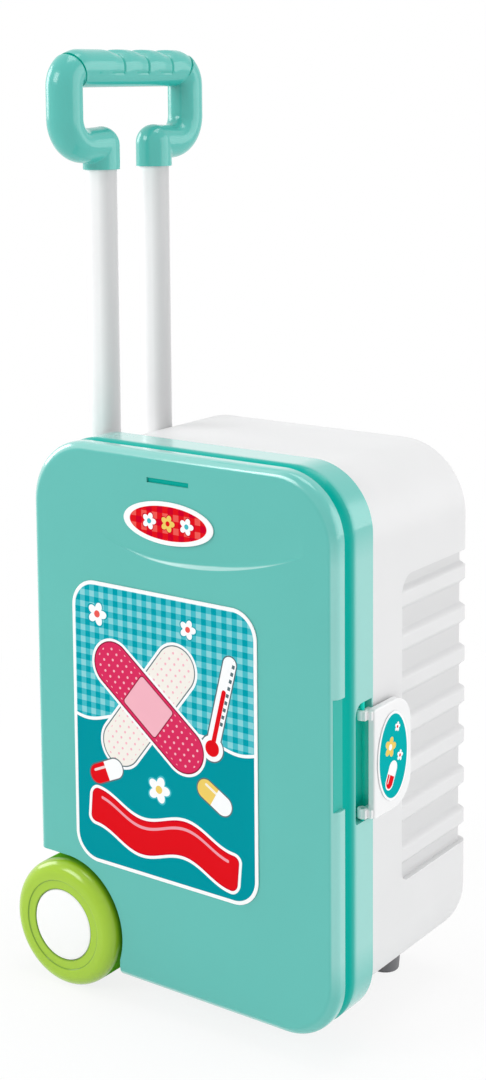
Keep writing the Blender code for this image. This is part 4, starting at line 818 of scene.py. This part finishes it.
def gripPaint():
    # turquoise, with painted shade along the creases, in the steps at the ends of the bar and under it
    g, c = grip, creases
    paint = Paint("gripTurquoise")
    x, y, z = paint.places((g["x"], g["mid"], g["barZ"]))
    angle, side = z.turn(x), abs(y)
    low, back = math.radians(c["low"]), math.radians(c["back"])
    lean = angle.ramp(*(math.radians(a) for a in c["over"])) ** 1.5
    place = y - c["start"] + lean * c["shift"]
    part = (place + c["pitch"] / 2) % c["pitch"] - c["pitch"] / 2
    lines = abs(part).fall(0.3, 1.3) * abs(place).fall(1.4 * c["pitch"], 1.41 * c["pitch"])
    lines = lines * (angle.ramp(low - 0.1, low) * angle.fall(back - 0.5, back))
    rim = abs(angle - low).ramp(0.02, 0.09, 0.8, 0) * abs(part + 7).fall(7, 11) * side.fall(42, 42.5)
    lines = lines.larger(rim) * z.ramp(-13.5, -13, 0, 1)
    bend = (side - (g["half"] - g["bend"])).turn(z + (g["barZ"] - g["top"] + g["bend"]))
    first, last = (math.radians(g["barBend"] - d) for d in (g["gap"] + 1.4, -0.4))
    steps = bend.ramp(first, first + 0.01) * bend.fall(last - 0.01, last) * z.ramp(-9, -3)
    # painted shade in the crease lines and the steps at the bar's ends
    deep = (lines * 0.6).larger(steps)
    # painted shade under the bar
    below = angle.fall(-1.3, -0.5) * angle.ramp(-2.2, -1.9) * (z.ramp(-14, -13) * side.fall(50, 56))
    colour = below.blend(paint.clouded("gripTurquoise"), colours["underShadeTurquoise"])
    colour = deep.blend(colour, colours["gripShadeTurquoise"])
    return paint.finish(colour, 0.2, 0.35, deep.ramp(0, 1, 0.35, 0.0))


def buildGrip():
    g, low = grip, grip["collarLow"]
    body = weld(gripArm(-1), gripArm(1))
    applyStep(body, "evenSkin", "REMESH", mode="VOXEL", voxel_size=g["voxel"] * mm)
    applyStep(body, "soften", "SMOOTH", factor=0.5, iterations=5)
    carve(body, box("rimCut", (g["x"] - 20, g["mid"] - 60, low - 12), (g["x"] + 20, g["mid"] + 60, low)))
    weld(body, gripBar())
    for y in tube["y"]:
        carve(body, rod("socket", "Z", (g["x"], y), tube["radius"] + 0.3, low - 4, low + g["socket"]),
              rod("screwRecess", "X", (y, screwZ), g["screwHead"], g["x"] - 17, g["x"] - 11.3, 40),
              rod("screwHole", "X", (y, screwZ), g["screwHole"], g["x"] - 15, g["x"], 24))
    body.name = "handleGrip"
    finishPiece(body, "handle", gripPaint(), ["grip"], 40)


def buildTubes():
    low, high, radius = tube["low"], grip["collarLow"] + grip["socket"] - 0.3, tube["radius"]
    for place, y in zip(("front", "back"), tube["y"]):
        body = softRod(place + "Tube", "Z", (grip["x"], y), radius, low, high, 0.25, 96)
        carve(body, rod("hollow", "Z", (grip["x"], y), radius - tube["wall"], low - 4, high + 4, 72),
              rod("screwHole", "X", (y, screwZ), grip["screwHole"], 0, grip["x"], 24))
        finishPiece(body, "handle", tubeWhite, ["tube_" + place])


buildGrip()
buildTubes()
print("handle made")


# Wheels with their caps
tyre = {"round": 8.5, "ring": 30.8, "step": 0.8, "hub": 24.6, "hubSink": 1.0, "cap": 3.0, "boss": 9, "web": 5,
        "wall": 3.5, "retainer": 6.8, "axle": 3.3}
tyreGreen = tyrePaint()


def wheelProfile():
    # (radius, depth) steps from the hub, over the ring and the tread, to the boss on the inner side
    t, outer, deep, core = tyre, wheel["radius"], wheel["width"], wheel["radius"] - tyre["round"]
    hub, ring, step, boss, floor = t["hub"], t["ring"], t["step"], t["boss"], t["hubSink"] + t["cap"]
    rows = [(hub, floor), (hub, step + 0.3), (hub + 0.12, step + 0.1), (hub + 0.4, step), (ring - 0.5, step),
            (ring - 0.1, step - 0.08), (ring + 0.15, 0.25), (ring + 0.5, 0.06), (ring + 1.1, 0)]
    rows += [(core + t["round"] * math.sin(a), t["round"] * (1 - math.cos(a))) for a in quarter(16)]
    back, inner, web = t["round"] / 3, outer - t["wall"], floor + t["web"]
    rows += [(outer - back * (1 - math.cos(a)), deep - back * (1 - math.sin(a))) for a in quarter(6)]
    rows += [(inner - back, deep), (inner - 0.6, deep - back), (inner - 0.8, web + 2), (inner - 2.8, web)]
    return rows + [(boss + 1.5, web), (boss, web + 1.5), (boss, deep - 0.4), (boss - 0.4, deep)]


def buildWheel(place, node, face, inward):
    t, axis, floor = tyre, (wheel["x"], wheel["z"]), tyre["hubSink"] + tyre["cap"]
    body = turned(place + "Wheel", "Y", axis, [(r, face + inward * d) for r, d in wheelProfile()], 160)
    start, end, room = (face + inward * d for d in (-4, wheel["width"] + 4, floor + 2.2))
    carve(body, rod("wheelBore", "Y", axis, t["axle"], min(start, end), max(start, end), 40),
          rod("retainerRoom", "Y", axis, t["retainer"], min(start, room), max(start, room), 48))
    finishPiece(body, place + "_wheel", tyreGreen, ["wheel_" + node], 30)

    rim, sink = t["hub"] - 0.3, t["hubSink"]
    rows = [(0.3, sink - 0.45), (6, sink - 0.44), (12, sink - 0.38), (17, sink - 0.28), (21, sink - 0.12),
            (22.8, sink), (rim - 0.6, sink + 0.12), (rim - 0.2, sink + 0.3), (rim, sink + 0.7),
            (rim, floor - 0.3)]
    cap = turned(place + "HubCap", "Y", axis, [(r, face + inward * d) for r, d in rows], 120)
    finishPiece(cap, place + "_wheel", hubWhite, ["hub_cap_" + node], 30)


buildWheel("front", "front", -wheel["proud"], 1)
buildWheel("rear", "back", caseDepth + wheel["proud"], -1)
print("wheels made")


# Latch plate with its lugs and hook
def buildLatch():
    c, e, pin = latch, latch["edge"], (latch["pinX"], latch["pinY"])
    low, high, inner = c["z"] - c["high"] / 2, c["z"] + c["high"] / 2, lid["width"] + c["standoff"]
    outer = inner + c["thick"]
    rows = [(inner, 0.5), (inner + 0.5, 0)]
    rows += [(outer - e + e * math.sin(t), e * (1 - math.cos(t))) for t in quarter(7)]
    radii = (2, c["round"] - 0.5, c["round"] - 0.5, 2)
    body = drawn("latchPlate", "X", (c["front"], c["back"], low, high), radii, rows)
    for start in (low + 0.6, high - c["lug"] + 0.6):
        end = start + c["lug"] - 1.2
        knuckle = softRod("lug", "Z", pin, c["lugRadius"], start, end, 0.4, 40)
        root = softBox("lugRoot", (pin[0] - 0.6, pin[1] - c["lugRadius"] + 0.5, start + 0.2),
                       (pin[0] + 3.9, c["pocketBack"] - 0.5, end - 0.2), 0.4)
        arm = softBox("lugArm", (pin[0] + 0.5, pin[1] - 0.2, start + 0.35),
                      (outer - e, c["pocketBack"] - 0.65, end - 0.35), 0.4)
        weld(body, weld(knuckle, weld(root, arm)))
    weld(body, softBox("hook", (inner - 1.8, 69, c["z"] - 13), (inner + 2.4, 71.6, c["z"] + 13), 0.3))
    carve(body, rod("latchBore", "Z", pin, c["pinRadius"] + 0.3, low - 4, high + 4, 32))
    finishPiece(body, "latch", latchWhite, ["latch_plate"])


buildLatch()
print("latch made")


# Printed labels: checks with crossed plasters, a thermometer, capsules, flowers and a ribbon
inks = {
    "white": (0.96, 0.97, 0.975), "paleBlue": (0.26, 0.64, 0.68), "midBlue": (0.060, 0.490, 0.560),
    "darkBlue": (0.0, 0.340, 0.410), "teal": (0.0, 0.295, 0.350), "pink": (0.70, 0.030, 0.115),
    "pinkLine": (0.22, 0.004, 0.03), "palePink": (0.90, 0.46, 0.54), "cream": (0.90, 0.86, 0.80),
    "greyLine": (0.10, 0.16, 0.18), "red": (0.76, 0.006, 0.012), "coral": (0.84, 0.105, 0.09),
    "deepRed": (0.62, 0.0, 0.022), "yellow": (0.86, 0.62, 0.14), "latchTeal": (0.0, 0.42, 0.43),
}
front = {"edges": (34.7, 184.6, 76.1, 269.0), "radius": 19.0, "rim": 2.5, "thick": 0.5, "check": 8.0,
         "seam": 178, "wave": 3.2, "waveLong": 62, "line": 1.1}
badge = {"x": 116.0, "z": 315.6, "wide": 36.0, "high": 14.0, "rimWide": 6.0, "rimHigh": 2.9, "check": 8.6}
oval = {"y": 55.5, "z": 174, "wide": 18.0, "high": 28.6, "rim": 1.5}
printed = {"roughness": 0.3, "coat": 0.05, "gloss": 0.0, "spread": 0.03, "strength": 0.02}


def stripes(value, period):
    part = value % period
    return part.ramp(period * 0.24, period * 0.26) * part.fall(period * 0.74, period * 0.76)


def checks(u, v, period, light, middle, dark):
    a, b = stripes(u, period), stripes(v, period)
    return (a * b).blend(a.larger(b).blend(inks[light], inks[middle]), inks[dark])


def layers(colour, distance, *steps):
    # inks laid over each other inside one outline, each with its own growth
    for grow, ink in steps:
        colour = edge(distance, grow).blend(colour, inks[ink])
    return colour


def capsule(colour, u, v, centre, degrees, half, thick, first, second, line):
    a, b = moved(u, v, centre, degrees)
    body = slab((a, b), half, thick, thick)
    colour = layers(colour, body, (0.9, line), (0, first))
    colour = (edge(body) * a.ramp(-0.1, 0.1)).blend(colour, inks[second])
    shine = slab((a + half * 0.1, b - thick * 0.45), half * 0.6, thick * 0.13, thick * 0.13)
    return (edge(shine) * 0.7).blend(colour, inks["white"])


def plaster(colour, u, v, degrees, skin, pad, line):
    half, thick, pitch = 52, 15, 5.2
    place = moved(u, v, (98, 192), degrees)
    body = slab(place, half, thick, thick)
    colour = layers(colour, body, (2.6, "white"), (0.8, line), (0, skin))
    dots = length(*(p % pitch - pitch / 2 for p in place)) - 0.85
    colour = (edge(dots) * edge(body, -2.2)).blend(colour, inks["palePink"])
    middle = slab(place, thick * 1.08, thick * 0.84, 2.0)
    colour = layers(colour, middle, (0.6, line), (0, pad))
    weave = stripes(place[0], 3.0) * edge(middle, -1.5)
    return (weave * 0.25).blend(colour, inks["palePink"])


def flower(colour, u, v, centre, size, petal, core, line):
    a, b = moved(u, v, centre)
    petals, radius = 5, length(a, b)
    bloom = abs((b.turn(a) * (petals / 2)).cosine())
    outer = radius - bloom.ramp(0, 1, size * 0.58, size)
    return layers(layers(colour, outer, (size * 0.14, line), (0, petal)), radius - size * 0.3, (0, core))


def frontPaint():
    f = front
    left, right, low, high = f["edges"]
    paint = Paint("frontPrint")
    x, z = paint.places()[::2]
    colour = checks(x - (left + 1), z - low, f["check"], "paleBlue", "midBlue", "darkBlue")
    height = z - f["seam"] - (x * (2 * math.pi / f["waveLong"])).sine() * f["wave"]
    colour = height.fall(-0.08, 0.08).blend(colour, inks["teal"])
    colour = layers(colour, abs(height) - f["line"], (0, "white"))

    # thermometer, standing at the right
    a, b = moved(x, z, (157, 205), -14)
    glass, middle = slab((a, b), 5.0, 33, 5.0), length(a, b + 31.0)
    colour = layers(colour, glass.smaller(middle - 8.5), (0.9, "greyLine"), (0, "white"))
    colour = layers(colour, slab((a, b + 12.0), 1.7, 22, 1.7).smaller(middle - 5.4), (0, "red"))
    ticks = stripes(b, 5.0) * edge(glass, -0.9) * a.ramp(1.9, 2.0) * b.ramp(-14, -13.8)
    colour = ticks.blend(colour, inks["greyLine"])

    colour = plaster(colour, x, z, 52, "cream", "white", "greyLine")
    colour = plaster(colour, x, z, -38, "pink", "palePink", "pinkLine")
    for centre, degrees, ink in (((62, 141), 24, "red"), ((151, 143), -30, "yellow")):
        colour = capsule(colour, x, z, centre, degrees, 14.5, 6.6, ink, "white", "greyLine")
    colour = flower(colour, x, z, (106, 138), 9.0, "white", "yellow", "midBlue")
    for centre, size in (((56, 247), 8.0), ((131, 249), 6.5)):
        colour = flower(colour, x, z, centre, size, "white", "coral", "darkBlue")

    # waving ribbon, falling a little to the right
    a, b = moved(x, z, (109, 106), -5)
    b = b - (a * (2 * math.pi / 74)).sine() * 5.0
    colour = layers(colour, slab((a, b), 60, 11.0, 4.0), (3.0, "white"), (0.9, "deepRed"), (0, "red"))
    colour = (edge(slab((a, b - 6.6), 53, 1.0, 1.0)) * 0.75).blend(colour, inks["palePink"])

    place = moved(x, z, ((left + right) / 2, (low + high) / 2))
    rim = slab(place, (right - left) / 2, (high - low) / 2, f["radius"])
    return paint.finish(edge(rim, -f["rim"]).blend(inks["white"], colour), **printed)


def badgePaint():
    paint = Paint("badgePrint")
    x, z = paint.places((badge["x"], 0, badge["z"]))[::2]
    colour = checks(x + 2.0, z + 4.3, badge["check"], "coral", "red", "deepRed")
    for u, petal, core in ((-15.0, "white", "midBlue"), (0.0, "yellow", "red"), (15.0, "white", "midBlue")):
        colour = flower(colour, x, z, (u, 0.0), 5.6, petal, core, "deepRed")
    inside = ellipse((x, z), badge["wide"] - badge["rimWide"] * 0.85, badge["high"] - badge["rimHigh"])
    return paint.finish(inside.fall(-0.006, 0.006).blend(inks["white"], colour), **printed)


def ovalPaint():
    paint = Paint("latchPrint")
    y, z = paint.places((0, oval["y"], oval["z"]))[1:]
    colour = flower(inks["latchTeal"], y, z, (-3.5, 6.5), 6.6, "yellow", "white", "latchTeal")
    colour = capsule(colour, y, z, (-2.5, -12.0), 62, 8.5, 4.0, "red", "white", "white")
    for centre, size in (((8.0, -2.0), 3.6), ((5.0, 17.5), 3.2)):
        colour = flower(colour, y, z, centre, size, "white", "red", "latchTeal")
    inside = ellipse((y, z), oval["wide"] - oval["rim"], oval["high"] - oval["rim"])
    return paint.finish(inside.fall(-0.006, 0.006).blend(inks["white"], colour), **printed)


def filmRows(level, outward):
    # a thin print with a soft edge: its back at a level, its side and its face
    soft, face = 0.12, level + outward * front["thick"]
    rows = [(face - outward * soft * (1 - math.sin(t)), soft * (1 - math.cos(t))) for t in quarter(4)]
    return [(level, 0)] + rows


def ovalFilm(name, facing, centre, size, level, outward):
    clearPick()
    where = spot(facing, level, *centre)
    bpy.ops.mesh.primitive_circle_add(vertices=96, radius=mm, fill_type="NGON", location=at(*where),
                                      rotation=facingTurn[facing])
    bpy.context.object.scale = (*size, 1)
    return pull(settle(name), facing, where, [2 * s for s in size], filmRows(level, outward))


def buildLabels():
    back, latchFace = -0.3, lid["width"] + latch["standoff"] + latch["thick"] + 0.3
    film = drawn("frontLabel", "Y", front["edges"], [front["radius"]] * 4, filmRows(back, -1), 32)
    finishPiece(film, "lid", frontPaint(), ["front_label"])
    film = ovalFilm("badgeLabel", "Y", (badge["x"], badge["z"]), (badge["wide"], badge["high"]), back, -1)
    finishPiece(film, "lid", badgePaint(), ["badge_label"])
    film = ovalFilm("latchLabel", "X", (oval["y"], oval["z"]), (oval["wide"], oval["high"]), latchFace, 1)
    finishPiece(film, "latch", ovalPaint(), ["latch_label"])


buildLabels()
print("labels made")


# Feet, hinge pins and what stays from the frame
foot = {"x": 190, "y": {"front": 70, "back": 142}, "radius": 12, "taper": 2, "edge": 1.6, "ground": -17.3,
        "top": 7.2, "recess": 3.3, "hole": 1.6, "seat": 0.7}


def buildFeet():
    f, e, low = foot, foot["edge"], foot["radius"] - foot["taper"]
    rows = [(low - e * (1 - math.sin(t)), f["ground"] + e * (1 - math.cos(t))) for t in quarter(5)]
    for place, y in f["y"].items():
        centre = (f["x"], y)
        body = turned(place + "Foot", "Z", centre, rows + [(f["radius"], f["top"])], 64)
        carve(body, rod("recess", "Z", centre, f["recess"], f["ground"] - 4, f["seat"], 40),
              rod("hole", "Z", centre, f["hole"], f["seat"] - 4, f["top"] + 4, 32))
        finishPiece(body, "case", footGrey, ["foot_" + place])


def buildHingePins():
    reach = knuckles["long"] * 1.5 + knuckles["gap"]
    for place, middle in (("lower", knuckles["low"]), ("upper", knuckles["high"])):
        low, top = middle - reach, middle + reach + 0.3
        rows = [(1.2, low), (1.5, low + 0.3), (1.5, top), (2.4, top), (2.4, top + 0.5), (2.2, top + 0.8),
                (1.4, top + 1.0)]
        body = turned("hingePin." + place, "Z", (hinge["x"], hinge["y"]), rows, 40)
        finishPiece(body, "case", pinSteel, ["hinge_pin_" + place])


def paintFrame():
    # the small hidden pieces keep their solids and get a finish of their own
    finishes = {"steel": pinSteel, "white_plastic": caseWhite,
                "grey_plastic": plain("greyMoulding", "hiddenGrey", 0.5, strength=0.15)}
    slots = {s["node"]: s["material_slot"] for s in frame["record"]["subparts"]}
    for node, obj in frame["nodes"].items():
        if not obj.hide_render:
            for place in obj.material_slots:
                place.material = pinShadeTurquoise if node.startswith("latch_pin") else finishes[slots[node]]


buildFeet()
buildHingePins()
paintFrame()
print("small pieces made")


# Camera, light and floor
photoCamera = {"yaw": 35.79, "pitch": 6.84, "roll": -0.46, "tx": 175.79, "ty": 1125.82, "tz": 462.29,
               "focal": 1857.12, "centreRow": 300, "rows": 1080, "sensor": 36}
lamps = {
    "keyLamp": {"spot": (-1.3, -2.6, 1.9), "aim": (0, 0, 0.3), "size": (1.4, 1.4), "watts": 36},
    "leftLamp": {"spot": (-2.6, -0.3, 1.2), "aim": (0, 0, 0.35), "size": (1.2, 1.4), "watts": 22},
    "sideLamp": {"spot": (2.3, 1.2, 1.0), "aim": (0, 0, 0.3), "size": (3.0, 1.8), "watts": 30},
    "topLamp": {"spot": (0.2, 0.2, 2.8), "aim": (0, 0, 0.2), "size": (1.4, 1.4), "watts": 20},
}
room = {"light": 0.5, "floor": (0.95, 0.95, 0.95), "floorWhite": 0.85, "reach": (220, 750), "size": 14,
        "middle": (121, 85, 0)}


def placeCamera():
    c = photoCamera
    a, e, r = (math.radians(c[k]) for k in ("yaw", "pitch", "roll"))
    back = Vector((math.sin(a) * math.cos(e), -math.cos(a) * math.cos(e), math.sin(e)))
    right = Vector((math.cos(a), math.sin(a), 0))
    up = right.cross(-back)
    x, y = math.cos(r) * right + math.sin(r) * up, -math.sin(r) * right + math.cos(r) * up
    place = at(c["tx"], 0, c["tz"]) + back * c["ty"] * mm
    data = bpy.data.cameras.new("photoCamera")
    cam = bpy.data.objects.new("photoCamera", data)
    scene.collection.objects.link(cam)
    cam.matrix_world = Matrix([*zip(x, y, back, place), (0, 0, 0, 1)])
    data.sensor_width = c["sensor"]
    data.lens = c["focal"] / c["rows"] * data.sensor_width
    data.shift_y = c["centreRow"] / c["rows"] - 0.5
    data.clip_end = 50
    scene.camera = cam


def softLamp(name, place, aim, size, watts):
    data = bpy.data.lights.new(name, "AREA")
    data.shape = "RECTANGLE"
    data.size, data.size_y = size
    data.energy = watts
    lamp = bpy.data.objects.new(name, data)
    scene.collection.objects.link(lamp)
    lamp.location = place
    lamp.rotation_euler = (Vector(aim) - Vector(place)).to_track_quat("-Z", "Y").to_euler()


def whiteRays(graph):
    # 1 for what the camera sees directly, or in a gloss or through a clear piece
    seen = graph.add("LightPath", "Is Camera Ray")
    return seen.larger(seen.beside("Is Glossy Ray")).larger(seen.beside("Is Transmission Ray"))


def brighten(graph, share, dull, bright, surface):
    # shows one surface or the other
    mixed = graph.add("MixShader", "Shader", {"Fac": share, 1: dull, 2: bright})
    graph.link(mixed, graph.tree.nodes[surface].inputs["Surface"])


def makeWorld():
    world = bpy.data.worlds.new("paleRoom")
    scene.world = world
    world.use_nodes = True
    graph = Graph(world.node_tree)
    soft = graph.tree.nodes["Background"]
    graph.link((1, 1, 1), soft.inputs["Color"])
    graph.link(room["light"], soft.inputs["Strength"])
    bright = graph.add("Background", "Background", {"Color": (1, 1, 1), "Strength": 1.0})
    brighten(graph, whiteRays(graph), Wire(graph, soft.outputs["Background"]), bright, "World Output")


def makeFloor():
    clearPick()
    bpy.ops.mesh.primitive_plane_add(size=room["size"], location=(0, 0, 0))
    floor = settle("paleFloor")
    paint = Paint("paleFloor")
    paint.link(room["floor"], paint.shader.inputs["Base Color"])
    paint.link(0.9, paint.shader.inputs["Roughness"])
    x, y = paint.places(room["middle"])[:2]
    far = length(x, y).ramp(*room["reach"], room["floorWhite"], 1.0, "SMOOTHSTEP")
    glow = paint.add("Emission", "Emission", {"Color": (1, 1, 1), "Strength": 1.0})
    dull = Wire(paint, paint.shader.outputs["BSDF"])
    brighten(paint, whiteRays(paint) * far, dull, glow, "Material Output")
    floor.data.materials.append(paint.mat)


placeCamera()
makeWorld()
makeFloor()
for name, lamp in lamps.items():
    softLamp(name, lamp["spot"], lamp["aim"], lamp["size"], lamp["watts"])
scene.view_settings.view_transform = "Standard"
print("stage made")
